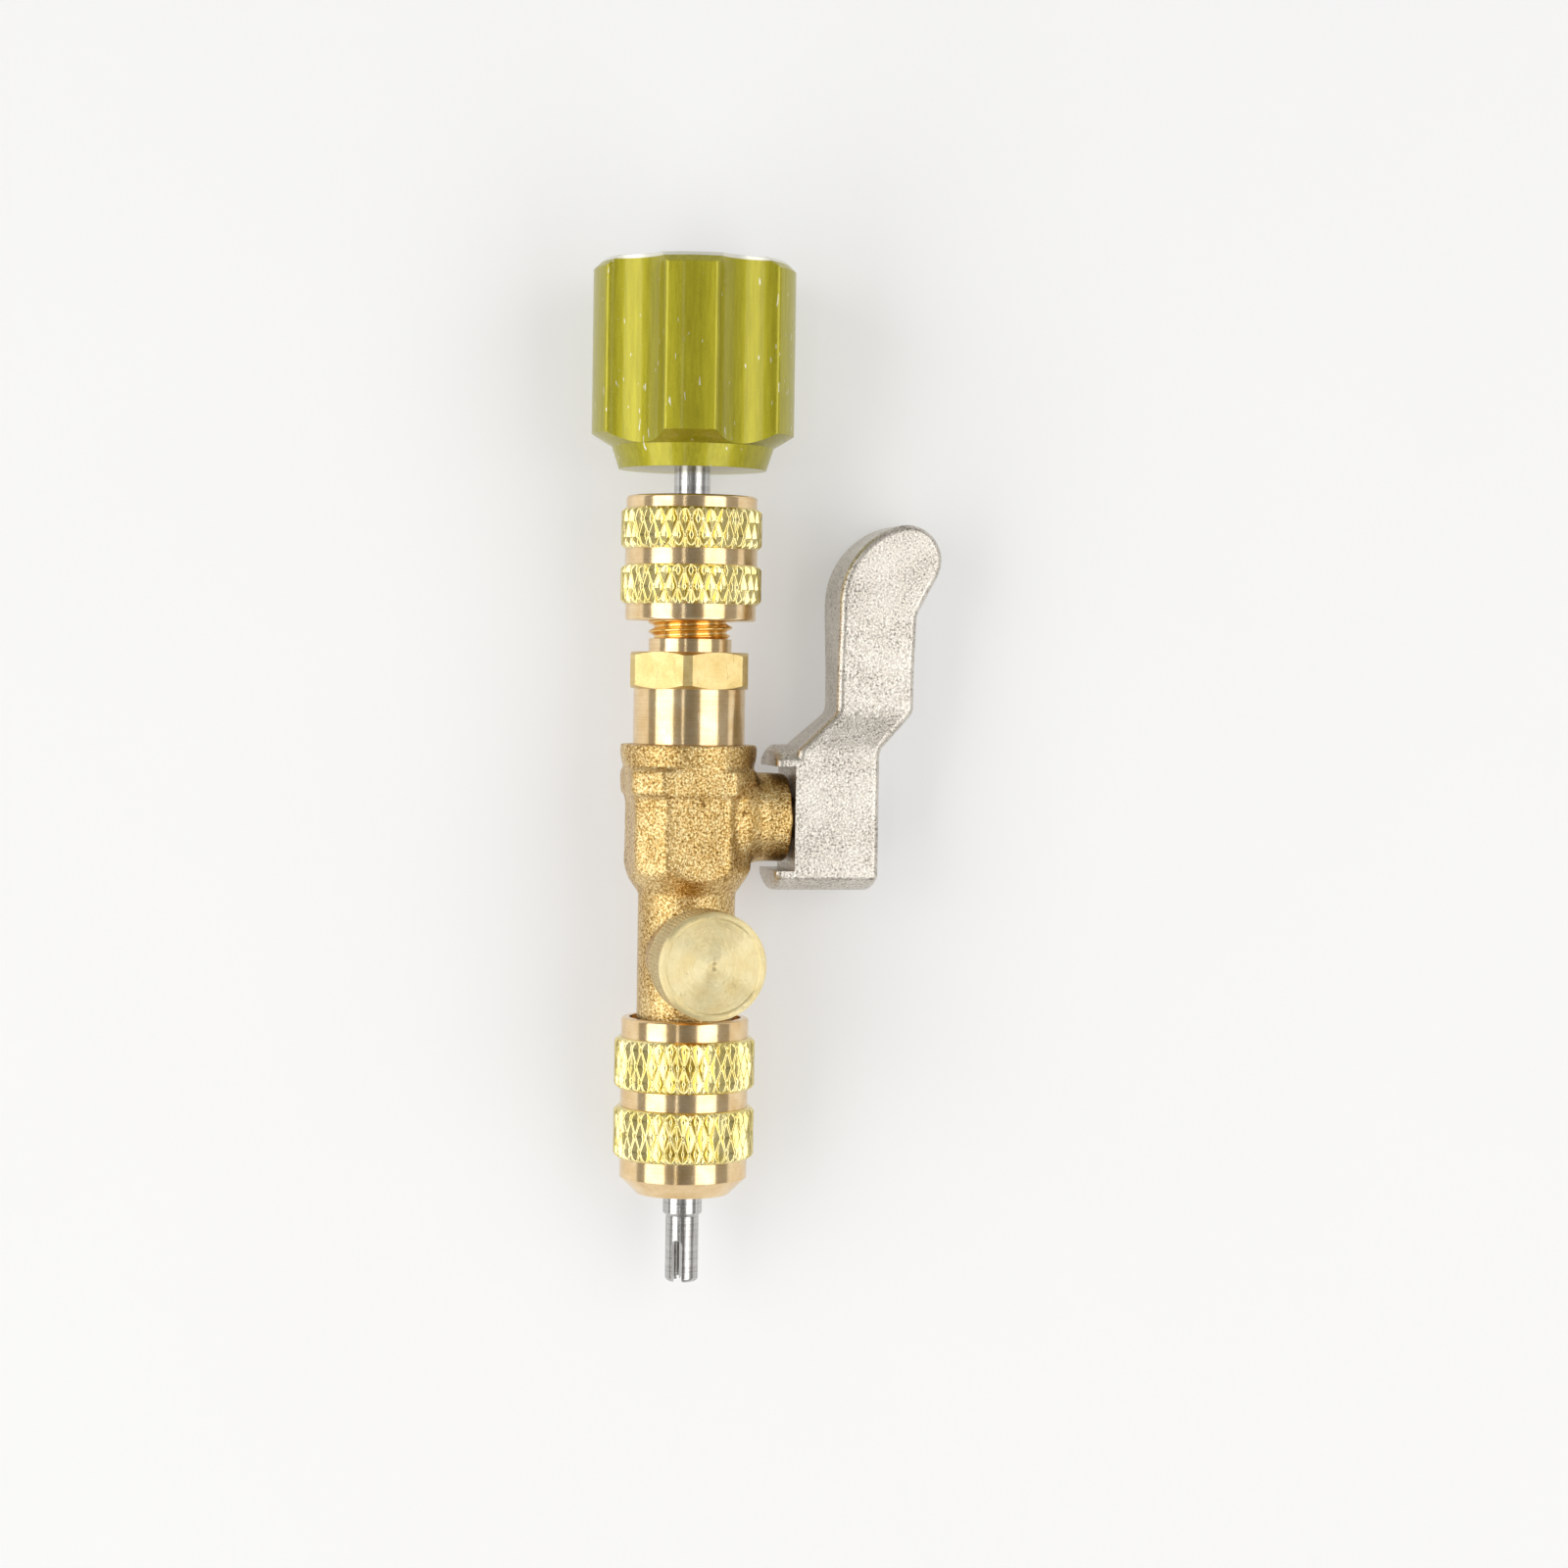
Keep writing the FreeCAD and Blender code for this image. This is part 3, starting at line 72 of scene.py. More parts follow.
def add(tree, kind, inputs=None, **settings):
    """A shader node with some of its inputs set, or linked where the value is a socket."""
    item = tree.nodes.new("ShaderNode" + kind)
    for name, value in settings.items():
        setattr(item, name, value)
    for name, value in (inputs or {}).items():
        put(tree, item, name, value)
    return item


def put(tree, item, name, value):
    """Set or link one input of a node."""
    if isinstance(value, bpy.types.NodeSocket):
        tree.links.new(value, item.inputs[name])
    else:
        item.inputs[name].default_value = value


def maths(tree, operation, *values, clamp=False):
    """The result of a Math node."""
    return add(tree, "Math", dict(enumerate(values)), operation=operation, use_clamp=clamp).outputs[0]


def blend(tree, share, low, high):
    """A colour between two colours."""
    return add(tree, "Mix", {0: share, 6: low, 7: high}, data_type="RGBA").outputs[2]


def span(tree, value, low, high, to_low=0.0, to_high=1.0):
    """A value moved from one range to another, and held within it."""
    return add(tree, "MapRange", {"Value": value, "From Min": low, "From Max": high,
                                  "To Min": to_low, "To Max": to_high}).outputs[0]


def noise(tree, place, scale, detail=2.0, roughness=0.5):
    """Noise over a place, with its scale per millimetre."""
    return add(tree, "TexNoise", {"Vector": place, "Scale": scale, "Detail": detail,
                                  "Roughness": roughness}).outputs["Fac"]


def place_in(tree, own_frame):
    """The surface's place in a frame, in millimetres. It stays with the piece when the piece moves."""
    inverse = own_frame.inverted()
    coords = add(tree, "TexCoord").outputs["Object"]
    return add(tree, "Mapping", {"Vector": coords, "Scale": (1 / MM,) * 3, "Rotation": inverse.to_euler(),
                                 "Location": inverse.translation / MM}).outputs[0]


def stretched(tree, place, across, along, turn=0.0):
    """A place squeezed or drawn out across and along the frame's Y axis, for streaks and scratches."""
    return add(tree, "Mapping", {"Vector": place, "Scale": (across, along, across),
                                 "Rotation": (0.0, 0.0, turn)}).outputs[0]


def lathe_place(tree, place):
    """Station and radius of a place, which is the same all round its axis."""
    axes = add(tree, "SeparateXYZ", {"Vector": place})
    flat = add(tree, "CombineXYZ", {"X": axes.outputs[0], "Z": axes.outputs[2]}).outputs[0]
    radius = add(tree, "VectorMath", {0: flat}, operation="LENGTH").outputs["Value"]
    return add(tree, "CombineXYZ", {"X": axes.outputs[1], "Y": radius}).outputs[0], axes.outputs[1], radius


def colour(red, green, blue):
    return (red, green, blue, 1.0)


def new_material(name):
    """An empty material with its surface shader, whose tree the caller fills."""
    material = bpy.data.materials.new(name)
    material.use_nodes = True
    tree = material.node_tree
    tree.nodes.clear()
    output = tree.nodes.new("ShaderNodeOutputMaterial")
    shader = tree.nodes.new("ShaderNodeBsdfPrincipled")
    tree.links.new(shader.outputs[0], output.inputs["Surface"])
    return material, tree, shader


EDGE_ROUND_MM = 0.12


def bumped(tree, height, distance_mm, edge_mm=EDGE_ROUND_MM):
    """A normal bent by a height, with edges softened a little."""
    bump = add(tree, "Bump", {"Height": height, "Distance": distance_mm * MM})
    if edge_mm:
        put(tree, bump, "Normal", add(tree, "Bevel", {"Radius": edge_mm * MM}, samples=4).outputs[0])
    return bump.outputs[0]


# Materials

TURN_ACROSS = 0.25


def drawn_highlight(tree, shader, place, own_frame, grip):
    """Draw the highlight out across lines that run round the frame's Y axis."""
    shader.inputs["Anisotropic"].default_value = grip
    shader.inputs["Anisotropic Rotation"].default_value = TURN_ACROSS
    about = add(tree, "VectorMath", {0: (0.0, 1.0, 0.0), 1: place}, operation="CROSS_PRODUCT").outputs[0]
    turn = add(tree, "Mapping", {"Vector": about, "Rotation": own_frame.to_euler()},
               vector_type="VECTOR").outputs[0]
    world = add(tree, "VectorTransform", {"Vector": turn}, vector_type="VECTOR", convert_from="OBJECT",
                convert_to="WORLD").outputs[0]
    put(tree, shader, "Tangent", add(tree, "VectorMath", {0: world}, operation="NORMALIZE").outputs[0])


def turned_metal(name, own_frame, low, high, rough=0.16, grip=0.6, line=0.004, scratched=0.3,
                 edge_mm=EDGE_ROUND_MM):
    """Metal turned on a lathe: fine lines about an axis, with a few scratches and darker stains."""
    material, tree, shader = new_material(name)
    place = place_in(tree, own_frame)
    lathe = lathe_place(tree, place)[0]
    lines = noise(tree, lathe, 7.0, 4.0, 0.75)
    clouds = noise(tree, place, 0.35, 4.0, 0.6)
    tone = maths(tree, "ADD", span(tree, clouds, 0.35, 0.65, 0.0, 0.5), span(tree, lines, 0.3, 0.7, 0.0, 0.5))
    base = blend(tree, tone, low, high)
    stains = span(tree, noise(tree, place, 0.9, 5.0, 0.7), 0.62, 0.75, 0.0, scratched)
    base = blend(tree, stains, base, colour(0.22, 0.13, 0.05))
    put(tree, shader, "Base Color", base)
    shader.inputs["Metallic"].default_value = 1.0
    fine = noise(tree, place, 5.0, 3.0)
    put(tree, shader, "Roughness", span(tree, fine, 0.3, 0.7, rough * 0.75, rough * 1.3))
    if grip:
        drawn_highlight(tree, shader, place, own_frame, grip)
    scratches = noise(tree, stretched(tree, place, 3.0, 0.3, 0.5), 1.4, 2.0)
    height = maths(tree, "ADD", lines, span(tree, scratches, 0.66, 0.70, 0.0, scratched))
    put(tree, shader, "Normal", bumped(tree, height, line, edge_mm))
    return material


def grainy_metal(name, pit_shade, mid, crest_highlight, grain, rough, depth_mm, low=0.34, high=0.66):
    """Metal as it leaves the mould: a fine grain in its bump, with painted shade between its crests and a
    painted highlight on them, over random clouds of tone.
    """
    material, tree, shader = new_material(name)
    place = place_in(tree, TOOL)
    coarse = noise(tree, place, grain, 3.0, 0.6)
    fine = noise(tree, place, grain * 2.6, 2.0, 0.5)
    clouds = noise(tree, place, 0.22, 3.0)
    height = maths(tree, "ADD", maths(tree, "MULTIPLY", coarse, 0.7), maths(tree, "MULTIPLY", fine, 0.3))
    # The colour follows the grain's height: painted shade in its pits and a painted highlight on its crests,
    # with random clouds of tone on top.
    shade = maths(tree, "ADD", span(tree, height, low, high), span(tree, clouds, 0.3, 0.7, -0.12, 0.12),
                  clamp=True)
    ramp = add(tree, "ValToRGB", {"Fac": shade})
    steps = ramp.color_ramp.elements
    steps[0].color = pit_shade
    steps[1].color = crest_highlight
    steps[0].position = 0.05
    steps[1].position = 0.95
    middle = steps.new(0.40)
    middle.color = mid
    put(tree, shader, "Base Color", ramp.outputs[0])
    shader.inputs["Metallic"].default_value = 1.0
    put(tree, shader, "Roughness", span(tree, height, low, high, rough * 1.2, rough * 0.8))
    put(tree, shader, "Normal", bumped(tree, height, depth_mm))
    return material


def anodised(name, bare_station, foot_station):
    """Dyed aluminium with a fine sparkle and short scratches, and turning lines on its tapered foot."""
    material, tree, shader = new_material(name)
    place = place_in(tree, TOOL)
    lathe, station, _ = lathe_place(tree, place)
    sparkle = noise(tree, place, 4.2, 3.0, 0.7)
    streaks = noise(tree, stretched(tree, place, 2.2, 0.16), 1.0, 3.0, 0.6)
    tone = maths(tree, "ADD", span(tree, sparkle, 0.3, 0.7, 0.0, 0.5),
                 span(tree, streaks, 0.35, 0.65, 0.0, 0.5))
    dyed = blend(tree, tone, colour(0.34, 0.30, 0.012), colour(0.50, 0.455, 0.030))
    scratches = noise(tree, stretched(tree, place, 2.4, 0.5, 0.9), 1.0, 1.0)
    worn = span(tree, scratches, 0.735, 0.75)
    end = span(tree, station, bare_station - 0.15, bare_station)
    bare = maths(tree, "MAXIMUM", maths(tree, "MULTIPLY", worn, 0.8), end)
    put(tree, shader, "Base Color", blend(tree, bare, dyed, colour(0.80, 0.79, 0.70)))
    shader.inputs["Metallic"].default_value = 1.0
    put(tree, shader, "Roughness", span(tree, sparkle, 0.3, 0.7, 0.40, 0.56))
    shader.inputs["Coat Weight"].default_value = 0.6
    shader.inputs["Coat Roughness"].default_value = 0.10
    lines = noise(tree, lathe, 5.0, 2.0)
    on_foot = span(tree, station, foot_station, foot_station + 0.3, 0.9, 0.0)
    height = maths(tree, "ADD", maths(tree, "MULTIPLY", lines, on_foot),
                   maths(tree, "MULTIPLY", sparkle, 0.6))
    put(tree, shader, "Normal", bumped(tree, height, 0.014))
    return material


def drawn_steel(name):
    """Ground steel rod with streaks along it."""
    material, tree, shader = new_material(name)
    place = place_in(tree, TOOL)
    streaks = noise(tree, stretched(tree, place, 2.6, 0.05), 1.0, 4.0, 0.7)
    rings = noise(tree, lathe_place(tree, place)[0], 4.0, 3.0)
    tone = maths(tree, "ADD", span(tree, streaks, 0.3, 0.7, 0.0, 0.7), span(tree, rings, 0.3, 0.7, 0.0, 0.3))
    put(tree, shader, "Base Color", blend(tree, tone, colour(0.20, 0.19, 0.18), colour(0.80, 0.79, 0.77)))
    shader.inputs["Metallic"].default_value = 1.0
    put(tree, shader, "Roughness", span(tree, rings, 0.3, 0.7, 0.08, 0.16))
    put(tree, shader, "Normal", bumped(tree, streaks, 0.02))
    return material


def plain_metal(name, base, rough, own_frame=TOOL):
    """Plated or polished metal with light wear."""
    material, tree, shader = new_material(name)
    place = place_in(tree, own_frame)
    wear = noise(tree, place, 2.0, 4.0, 0.6)
    worn = tuple(channel * 0.7 for channel in base[:3]) + (1.0,)
    put(tree, shader, "Base Color", blend(tree, span(tree, wear, 0.4, 0.75), base, worn))
    shader.inputs["Metallic"].default_value = 1.0
    put(tree, shader, "Roughness", span(tree, wear, 0.3, 0.7, rough * 0.8, rough * 1.4))
    return material


def moulded(name, base, rough):
    """Rubber or plastic with a slight mottle."""
    material, tree, shader = new_material(name)
    place = place_in(tree, TOOL)
    mottle = noise(tree, place, 1.5, 3.0)
    pale = tuple(min(1.0, channel * 1.3) for channel in base[:3]) + (1.0,)
    put(tree, shader, "Base Color", blend(tree, mottle, base, pale))
    put(tree, shader, "Roughness", span(tree, mottle, 0.3, 0.7, rough, rough * 1.2))
    put(tree, shader, "Normal", bumped(tree, mottle, 0.01))
    return material


def inside(own_frame, mesh):
    """Each corner of a mesh in a frame, in millimetres."""
    inverse = own_frame.inverted()
    return [inverse @ vertex.co / MM for vertex in mesh.vertices]


def stations_of(node, own_frame=TOOL):
    """Where a node starts and ends along a frame's Y axis, in millimetres."""
    stations = [point.y for point in inside(own_frame, frame["nodes"][node].data)]
    return min(stations), max(stations)


KNOB_LOW, KNOB_HIGH = stations_of("knob")
KNOB_FOOT_MM = 4.5

brass = turned_metal("machined_brass", TOOL, colour(0.72, 0.47, 0.20), colour(0.95, 0.76, 0.48))
hex_brass = turned_metal("milled_brass", TOOL, colour(0.62, 0.44, 0.15), colour(0.86, 0.69, 0.34), rough=0.36,
                         grip=0.0, line=0.03, scratched=0.6)
thread_brass = turned_metal("threaded_brass", TOOL, colour(0.74, 0.42, 0.10), colour(0.95, 0.66, 0.26),
                            rough=0.20, grip=0.0, scratched=0.1, edge_mm=0.0)
knurl_brass = turned_metal("knurled_brass", TOOL, colour(0.78, 0.62, 0.15), colour(0.97, 0.85, 0.46),
                           rough=0.13, grip=0.0, line=0.0, scratched=0.7, edge_mm=0.0)
cap_brass = turned_metal("satin_brass", PORT, colour(0.88, 0.69, 0.31), colour(1.0, 0.90, 0.56),
                         rough=0.42, grip=1.0, line=0.012)
flank_brass = turned_metal("cap_flank_brass", PORT, colour(0.62, 0.45, 0.18), colour(0.86, 0.70, 0.38),
                           rough=0.24, grip=0.0, line=0.0, edge_mm=0.0)
# In each grainy metal the first colour is painted shade in the grain's pits and the last is a painted
# highlight on its crests.
cast_brass = grainy_metal("cast_brass", colour(0.13, 0.055, 0.008), colour(0.60, 0.37, 0.11),
                          colour(1.0, 0.83, 0.46), 3.1, 0.25, 0.15)
nickel = grainy_metal("nickel_plate", colour(0.17, 0.155, 0.13), colour(0.60, 0.55, 0.48),
                      colour(0.84, 0.80, 0.73), 3.4, 0.30, 0.09)
knob_green = anodised("anodised_green", KNOB_HIGH - 0.4, KNOB_LOW + KNOB_FOOT_MM)
rod_steel = drawn_steel("rod_steel")
chrome = plain_metal("ball_chrome", colour(0.80, 0.80, 0.80), 0.08)
screw_steel = plain_metal("screw_steel", colour(0.50, 0.50, 0.50), 0.25)
magnet = plain_metal("magnet_nickel", colour(0.66, 0.64, 0.62), 0.2)
rubber = moulded("black_rubber", colour(0.02, 0.02, 0.02), 0.5)
seal_white = moulded("white_seal", colour(0.78, 0.78, 0.76), 0.4)

NODE_MATERIALS = {
    "adapter_seal": rubber, "upper_ball_seat": seal_white, "lower_ball_seat": seal_white, "ball": chrome,
    "valve_stem": brass, "stem_thrust_washer": seal_white, "stem_seal_inner": rubber,
    "stem_seal_outer": rubber, "lever": nickel, "lever_lock_washer": screw_steel, "lever_screw": screw_steel,
    "flare_gasket": seal_white, "gland_bush": brass, "rod_seal": rubber, "knob": knob_green,
    "knob_set_screw": screw_steel, "pull_rod": rod_steel, "core_grip_magnet": magnet, "cap_gasket": rubber,
    "nut_retaining_ring": screw_steel, "coupling_gasket": rubber,
}

for node_name, material in NODE_MATERIALS.items():
    mesh = frame["nodes"][node_name].data
    mesh.materials.clear()
    mesh.materials.append(material)


# Mesh helpers

SHARP_ANGLE = math.radians(32)


def add_piece(name, builder, body, node, materials):
    """Turn a mesh under construction into a piece that rides on a body and stands for a CAD node."""
    mesh = bpy.data.meshes.new(name)
    builder.to_mesh(mesh)
    builder.free()
    for material in materials:
        mesh.materials.append(material)
    mesh.shade_smooth()
    mesh.set_sharp_from_angle(angle=SHARP_ANGLE)
    piece = bpy.data.objects.new(name, mesh)
    bpy.context.scene.collection.objects.link(piece)
    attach(piece, body)
    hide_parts(node)
    return piece


def radius_of(point):
    return math.hypot(point.x, point.z)


def copy_of(node, own_frame, unwanted=None):
    """A node's mesh under construction, without the faces that are unwanted."""
    builder = bmesh.new()
    builder.from_mesh(frame["nodes"][node].data)
    for face in builder.faces:
        face.material_index = 0
    if unwanted:
        inverse = own_frame.inverted()
        places = {vertex: inverse @ vertex.co / MM for vertex in builder.verts}
        doomed = [face for face in builder.faces if unwanted([places[vertex] for vertex in face.verts])]
        bmesh.ops.delete(builder, geom=doomed, context="FACES")
    return builder


def bands_of(node, own_frame, beyond_mm):
    """Stretches along a turned node where its skin lies beyond a radius, as pairs of stations."""
    mesh = frame["nodes"][node].data
    points = inside(own_frame, mesh)
    spans = []
    for face in mesh.polygons:
        corners = [points[index] for index in face.vertices]
        if min(radius_of(corner) for corner in corners) > beyond_mm:
            spans.append([min(corner.y for corner in corners), max(corner.y for corner in corners)])
    bands = []
    for low, high in sorted(spans):
        if bands and low < bands[-1][1] + NEAR_MM:
            bands[-1][1] = max(bands[-1][1], high)
        else:
            bands.append([low, high])
    return bands


def wrap(builder, own_frame, stations, columns, radius_at, slot, leans=None):
    """A skin round a frame's Y axis through rings at these stations. The radius follows from the turn, in
    whole turns, and from the ring's number. Where the skin leans, its cells are split the other way."""
    rings = []
    for index, station in enumerate(stations):
        ring = []
        for column in range(columns):
            radius = radius_at(column / columns, index)
            angle = math.tau * column / columns
            place = Vector((radius * math.sin(angle), station, radius * math.cos(angle)))
            ring.append(builder.verts.new(own_frame @ (place * MM)))
        rings.append(ring)
    for row in range(len(rings) - 1):
        for column in range(columns):
            after = (column + 1) % columns
            a, b = rings[row][column], rings[row][after]
            c, d = rings[row + 1][after], rings[row + 1][column]
            if leans and leans(column, row):
                cells = ((a, b, c), (a, c, d))
            else:
                cells = ((a, b, d), (b, c, d))
            for cell in cells:
                builder.faces.new(cell).material_index = slot


# Knurled nuts

RIDGES = 68
ROW_MM = 2.1
KNURL_DEPTH_MM = 0.5
BELOW_KNURL_MM = 0.02
CUTS = 8
END_CHAMFER_MM = 0.45
END_STEP_MM = 0.09
END_SLOPE = 1.05
PIT_FLOOR = 0.22
UNEVEN_MM = 0.10


def knurl_start(node, crest_mm, low, high):
    """The station of one crest of a band, and the number of the ridge that it lies on."""
    for point in inside(TOOL, frame["nodes"][node].data):
        if radius_of(point) > crest_mm - NEAR_MM / 2 and low + NEAR_MM < point.y < high - NEAR_MM:
            return point.y, round(math.atan2(point.x, point.z) / math.tau * RIDGES)


def knurl_stations(low, high, start):
    """Stations of the rings of a band: in step with its rows, and closer together in its end chamfers."""
    step = ROW_MM / CUTS
    first = math.ceil((low + END_CHAMFER_MM - start) / step)
    last = math.floor((high - END_CHAMFER_MM - start) / step)
    middle = [start + step * index for index in range(first, last + 1)]
    count = math.ceil(END_CHAMFER_MM / END_STEP_MM)
    ends = [END_STEP_MM * index for index in range(count)]
    before = [low + reach for reach in ends if low + reach < middle[0] - END_STEP_MM / 2]
    after = [high - reach for reach in reversed(ends) if high - reach > middle[-1] + END_STEP_MM / 2]
    return before + middle + after


def knurl_band(builder, low, high, start, ridge, crest_mm, foot_mm):
    """One band of diamond knurl: thin ridges that cross, with a pit in each diamond, both ends chamfered."""
    stations = knurl_stations(low, high, start)
    rings = [low, *stations, high]

    def offset(turn, station):
        """How far a place lies from the nearest crest across both families of grooves, and that crest."""
        across = turn * RIDGES - ridge
        along = (station - start) / ROW_MM
        first = (across + along) / 2
        second = (across - along) / 2
        return abs(first - round(first)), abs(second - round(second)), (round(first), round(second))

    def radius_at(turn, index):
        if index in (0, len(rings) - 1):
            return foot_mm
        station = rings[index]
        first, second, (one, other) = offset(turn, station)
        wall = 2 * max(first, second)
        column = (one + other) % RIDGES
        uneven = field.cell(Vector((column * 1.7, (one - other) * 2.3, low)))
        pit = min(1.0, (1 - wall) / (1 - PIT_FLOOR))
        radius = crest_mm - KNURL_DEPTH_MM * pit + UNEVEN_MM * (uneven - 1.0) * pit
        reach = min(station - low, high - station)
        return max(foot_mm, min(radius, crest_mm - KNURL_DEPTH_MM + reach * END_SLOPE))

    def leans(column, row):
        across = math.floor(column / CUTS) - ridge
        along = math.floor((rings[row] + rings[min(row + 1, len(rings) - 1)] - 2 * start) / 2 / ROW_MM)
        return (across + along) % 2 == 1

    wrap(builder, TOOL, rings, RIDGES * CUTS, radius_at, 1, leans)


def make_nut(node):
    """A nut with its CAD body, and the fine form of its knurl in place of the plain one."""
    crest = max(radius_of(point) for point in inside(TOOL, frame["nodes"][node].data))
    floor = crest - KNURL_DEPTH_MM - BELOW_KNURL_MM
    bands = bands_of(node, TOOL, floor)
    builder = copy_of(node, TOOL, lambda corners: max(map(radius_of, corners)) > floor)
    left = [radius_of(TOOL.inverted() @ vertex.co / MM) for vertex in builder.verts if vertex.link_faces]
    foot = max(left)
    for low, high in bands:
        start, ridge = knurl_start(node, crest, low, high)
        knurl_band(builder, low, high, start, ridge, crest, foot)
    loose = [vertex for vertex in builder.verts if not vertex.link_faces]
    bmesh.ops.delete(builder, geom=loose, context="VERTS")
    add_piece(node + "_knurled", builder, node, node, [brass, knurl_brass])


# Threads

THREAD_RADIUS_MM = 5.55
THREAD_DEPTH_MM = 0.74
THREAD_ROOT_MM = THREAD_RADIUS_MM - THREAD_DEPTH_MM
THREAD_PITCH_MM = 1.27
THREAD_COLUMNS = 96
THREAD_CUTS = 14
THREAD_WALL_MM = 0.25
THREAD_END_SLOPE = 1.2
ROOT_SHARE = 0.22
FLANK_SHARE = 0.62
HEX_INNER_MM = 7.5


def thread_stretch(node, own_frame):
    """Where a node's plain thread cylinder starts and ends."""
    stations = [point.y for point in inside(own_frame, frame["nodes"][node].data)
                if abs(radius_of(point) - THREAD_RADIUS_MM) < NEAR_MM and point.y > THREAD_RADIUS_MM]
    return min(stations), max(stations)


def narrow_to_root(builder, own_frame, low, high):
    """Narrow a plain thread cylinder to the thread's root."""
    inverse = own_frame.inverted()
    for vertex in builder.verts:
        place = inverse @ vertex.co / MM
        if abs(radius_of(place) - THREAD_RADIUS_MM) < NEAR_MM and low - NEAR_MM < place.y < high + NEAR_MM:
            share = THREAD_ROOT_MM / radius_of(place)
            vertex.co = own_frame @ (Vector((place.x * share, place.y, place.z * share)) * MM)


def wrap_thread(builder, own_frame, low, high, slot):
    """Wrap the thread's ridge round its root."""
    count = round((high - low) / THREAD_PITCH_MM * THREAD_CUTS)
    stations = [low + (high - low) * index / count for index in range(count + 1)]
    rings = [stations[0], *stations, stations[-1]]

    def radius_at(turn, index):
        if index in (0, len(rings) - 1):
            return THREAD_ROOT_MM - THREAD_WALL_MM
        phase = rings[index] / THREAD_PITCH_MM - turn
        ridge = 2 * abs(phase - round(phase))
        height = min(1.0, max(0.0, (ridge - ROOT_SHARE) / FLANK_SHARE))
        reach = min(rings[index] - low, high - rings[index])
        return THREAD_ROOT_MM + min(height * THREAD_DEPTH_MM, reach * THREAD_END_SLOPE)

    wrap(builder, own_frame, rings, THREAD_COLUMNS, radius_at, slot)


def make_adapter():
    """The hexagon fitting with a real thread."""
    builder = copy_of("flare_adapter", TOOL)
    inverse = TOOL.inverted()
    for face in builder.faces:
        if min(radius_of(inverse @ vertex.co / MM) for vertex in face.verts) > HEX_INNER_MM:
            face.material_index = 2
    low, high = thread_stretch("flare_adapter", TOOL)
    narrow_to_root(builder, TOOL, low, high)
    wrap_thread(builder, TOOL, low, high, 1)
    add_piece("flare_adapter_threaded", builder, "body", "flare_adapter",
              [brass, thread_brass, hex_brass])


# Side port's cap

CAP_TEETH = 84
CAP_ROW_MM = 0.55
CAP_CUTS = 4
CAP_DEPTH_MM = 0.28


def make_cap():
    """The cap with a fine square knurl round its flank."""
    crest = max(radius_of(point) for point in inside(PORT, frame["nodes"]["port_cap"].data))
    low, high = bands_of("port_cap", PORT, crest - NEAR_MM / 2)[0]
    builder = copy_of("port_cap", PORT, lambda corners: min(map(radius_of, corners)) > crest - NEAR_MM / 2)
    rows = round((high - low) / CAP_ROW_MM) * CAP_CUTS
    stations = [low + (high - low) * index / rows for index in range(rows + 1)]

    def radius_at(turn, index):
        if index in (0, rows):
            return crest
        across = turn * CAP_TEETH
        along = index / CAP_CUTS
        groove = min(abs(across - round(across)), abs(along - round(along)))
        return crest - CAP_DEPTH_MM * (1 - min(1.0, groove * CAP_CUTS))

    wrap(builder, PORT, stations, CAP_TEETH * CAP_CUTS, radius_at, 1)
    add_piece("port_cap_knurled", builder, "port_cap", "port_cap", [cap_brass, flank_brass])


# Cast body

VOXEL_MM = 0.28
CAST_LOW_MM = -11.0
CAST_HIGH_MM = 9.2
CAST_INNER_MM = 6.7
BOSS_FACE_MM = 4.2
CAST_SHARE = 0.5
SOFTENING = 14
EDGE_SOFTENING = 2
LUMP_MM = 0.07
PIT_MM = 0.05
LUMP_SIZE_MM = 2.2
PIT_SIZE_MM = 0.55


def cast_share(place):
    """1 on the cast skin of the body, 0 in its bores and on its machined ends."""
    along = min(place.y - CAST_LOW_MM, CAST_HIGH_MM - place.y, 1.0)
    out = min((radius_of(place) - CAST_INNER_MM) * 2, 1.0)
    from_stem = math.hypot(place.y, place.z)
    if place.x > 0 and from_stem < BOSS_FACE_MM:
        return 0.0
    return max(0.0, min(along, out))


def remeshed(builder):
    """The mesh as even small cells, so that it can be softened."""
    mesh = bpy.data.meshes.new("cast_work")
    builder.to_mesh(mesh)
    builder.free()
    work = bpy.data.objects.new("cast_work", mesh)
    bpy.context.scene.collection.objects.link(work)
    cells = work.modifiers.new("cells", "REMESH")
    cells.mode = "VOXEL"
    cells.voxel_size = VOXEL_MM * MM
    evaluated = work.evaluated_get(bpy.context.evaluated_depsgraph_get())
    result = bmesh.new()
    result.from_mesh(evaluated.to_mesh())
    evaluated.to_mesh_clear()
    bpy.data.objects.remove(work)
    bpy.data.meshes.remove(mesh)
    return result


def soften_cast(builder):
    """Round the edges of the casting, and leave its skin slightly lumpy and pitted."""
    inverse = TOOL.inverted()
    shares = {vertex: cast_share(inverse @ vertex.co / MM) for vertex in builder.verts}
    skin = [vertex for vertex, share in shares.items() if share > CAST_SHARE]
    for verts, times in ((builder.verts, EDGE_SOFTENING), (skin, SOFTENING)):
        for _ in range(times):
            bmesh.ops.smooth_vert(builder, verts=verts, factor=0.5, use_axis_x=True, use_axis_y=True,
                                  use_axis_z=True)
    builder.normal_update()
    moves = []
    for vertex, share in shares.items():
        place = inverse @ vertex.co / MM
        lump = field.noise(place / LUMP_SIZE_MM) * LUMP_MM
        pit = min(0.0, field.noise(place / PIT_SIZE_MM)) * PIT_MM
        moves.append((vertex, vertex.normal * ((lump + pit - LUMP_MM / 2) * share * MM)))
    for vertex, move in moves:
        vertex.co += move


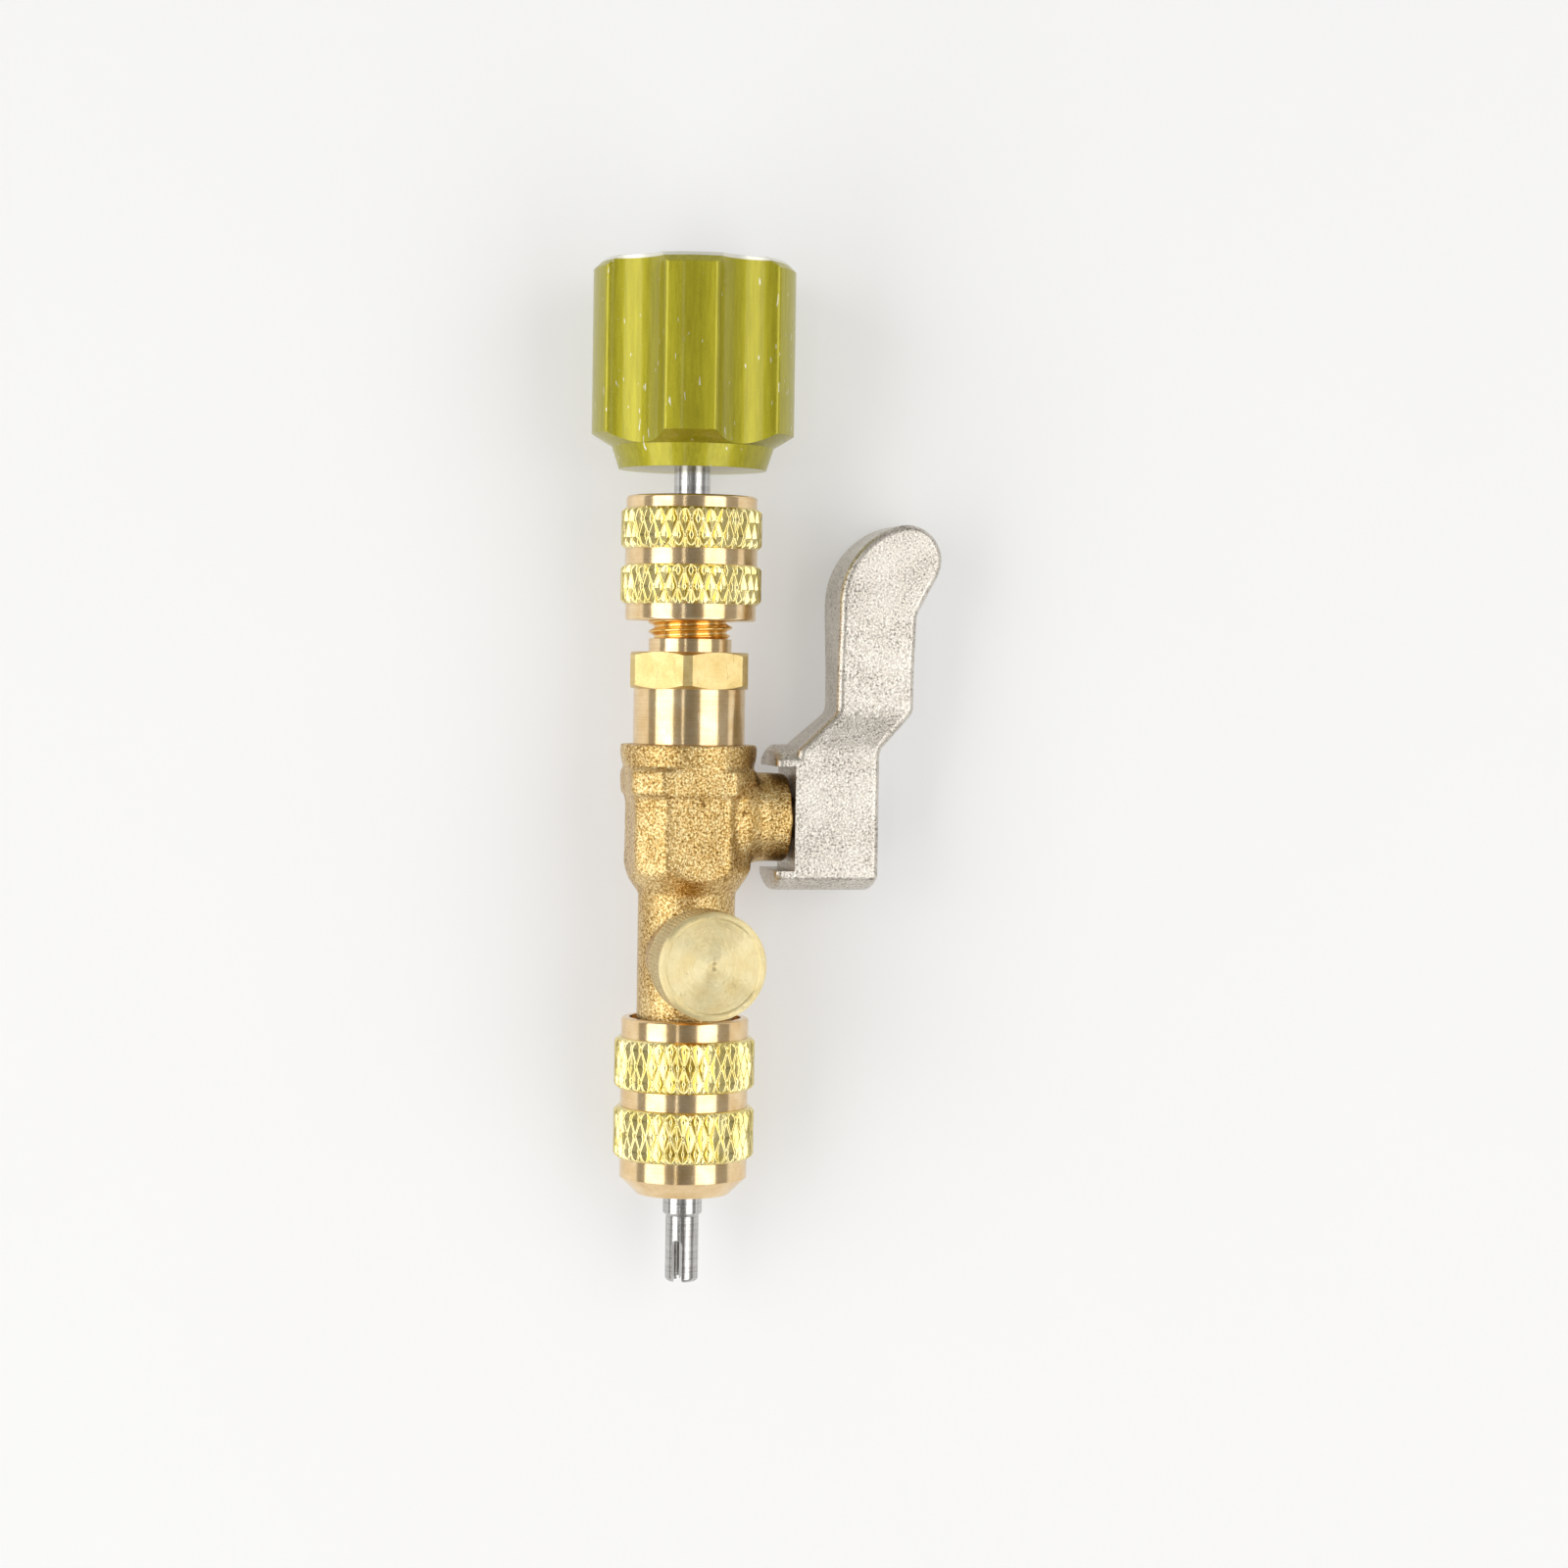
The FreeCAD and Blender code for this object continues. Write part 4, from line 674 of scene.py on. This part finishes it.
def make_body():
    """The cast body: softened skin, and a real thread on its side port."""
    low, high = thread_stretch("valve_body", PORT)
    builder = copy_of("valve_body", PORT)
    narrow_to_root(builder, PORT, low, high)
    builder = remeshed(builder)
    soften_cast(builder)
    wrap_thread(builder, PORT, low, high, 1)
    add_piece("valve_body_cast", builder, "body", "valve_body", [cast_brass, thread_brass])


make_nut("upper_nut")
make_nut("lower_nut")
make_adapter()
make_cap()
make_body()


# Floor, lights and camera

CAMERA_HEIGHT = 0.450
SENSOR = 36.0
PIXELS = 1600
PIXELS_PER_MM = 7.7
VIEW_ASIDE_MM = 12.7
VIEW_STATION_MM = 4.5
VIEW_LEAN_DEG = 0.854
FLOOR_SPAN = 6.0


def make_floor():
    """A pale table top far wider than the view."""
    builder = bmesh.new()
    bmesh.ops.create_grid(builder, x_segments=2, y_segments=2, size=FLOOR_SPAN / 2)
    mesh = bpy.data.meshes.new("floor")
    builder.to_mesh(mesh)
    builder.free()
    floor = bpy.data.objects.new("floor", mesh)
    bpy.context.scene.collection.objects.link(floor)
    material, tree, shader = new_material("pale_table")
    place = add(tree, "TexCoord").outputs["Object"]
    cloud = add(tree, "TexNoise", {"Vector": place, "Scale": 30.0, "Detail": 3.0}).outputs["Fac"]
    put(tree, shader, "Base Color", blend(tree, cloud, colour(0.56, 0.56, 0.56), colour(0.575, 0.575, 0.57)))
    shader.inputs["Roughness"].default_value = 0.6
    path = add(tree, "LightPath")
    lift = maths(tree, "MAXIMUM", path.outputs["Is Camera Ray"], path.outputs["Is Glossy Ray"])
    shader.inputs["Emission Color"].default_value = colour(1.0, 1.0, 1.0)
    put(tree, shader, "Emission Strength", maths(tree, "MULTIPLY", lift, 0.34))
    mesh.materials.append(material)


def soft_box(name, lean_deg, width, length, distance, radiance, shift=0.0):
    """A soft light that leans this far from straight up, towards +X, and faces the tool."""
    light = bpy.data.lights.new(name, "AREA")
    light.shape = "RECTANGLE"
    light.size = width
    light.size_y = length
    light.energy = radiance * math.pi * width * length
    lamp = bpy.data.objects.new(name, light)
    lean = math.radians(lean_deg)
    lamp.location = Vector((math.sin(lean), 0.0, math.cos(lean))) * distance + Vector((0.0, shift, 0.0))
    lamp.rotation_euler = (0.0, lean, 0.0)
    bpy.context.scene.collection.objects.link(lamp)


def make_world():
    """Dim even light from the room, darker straight above."""
    world = bpy.data.worlds.new("room")
    bpy.context.scene.world = world
    world.use_nodes = True
    tree = world.node_tree
    tree.nodes.clear()
    up = add(tree, "SeparateXYZ", {"Vector": add(tree, "TexCoord").outputs["Generated"]}).outputs[2]
    dim = span(tree, up, 0.90, 0.99, 0.42, 0.24)
    background = add(tree, "Background", {"Color": colour(1.0, 0.985, 0.96), "Strength": dim})
    output = tree.nodes.new("ShaderNodeOutputWorld")
    tree.links.new(background.outputs[0], output.inputs["Surface"])


def make_camera():
    """A camera straight above, framed as in the photograph."""
    camera = bpy.data.cameras.new("camera")
    camera.sensor_width = SENSOR
    camera.lens = SENSOR * PIXELS_PER_MM * CAMERA_HEIGHT / MM / PIXELS
    seen = TOOL @ Vector((0.0, VIEW_STATION_MM * MM, 0.0))
    holder = bpy.data.objects.new("camera", camera)
    holder.location = seen + Vector((VIEW_ASIDE_MM * MM, 0.0, CAMERA_HEIGHT))
    holder.rotation_euler = (0.0, 0.0, math.radians(VIEW_LEAN_DEG))
    bpy.context.scene.collection.objects.link(holder)
    bpy.context.scene.camera = holder


make_floor()
make_world()
soft_box("left_light", -51.0, 0.68, 1.7, 1.0, 2.1, -0.35)
soft_box("right_light", 43.0, 0.68, 1.7, 1.0, 1.8, -0.35)
soft_box("thin_light", -11.5, 0.030, 2.0, 1.0, 2.6)
make_camera()
bpy.context.scene.view_settings.view_transform = "Standard"
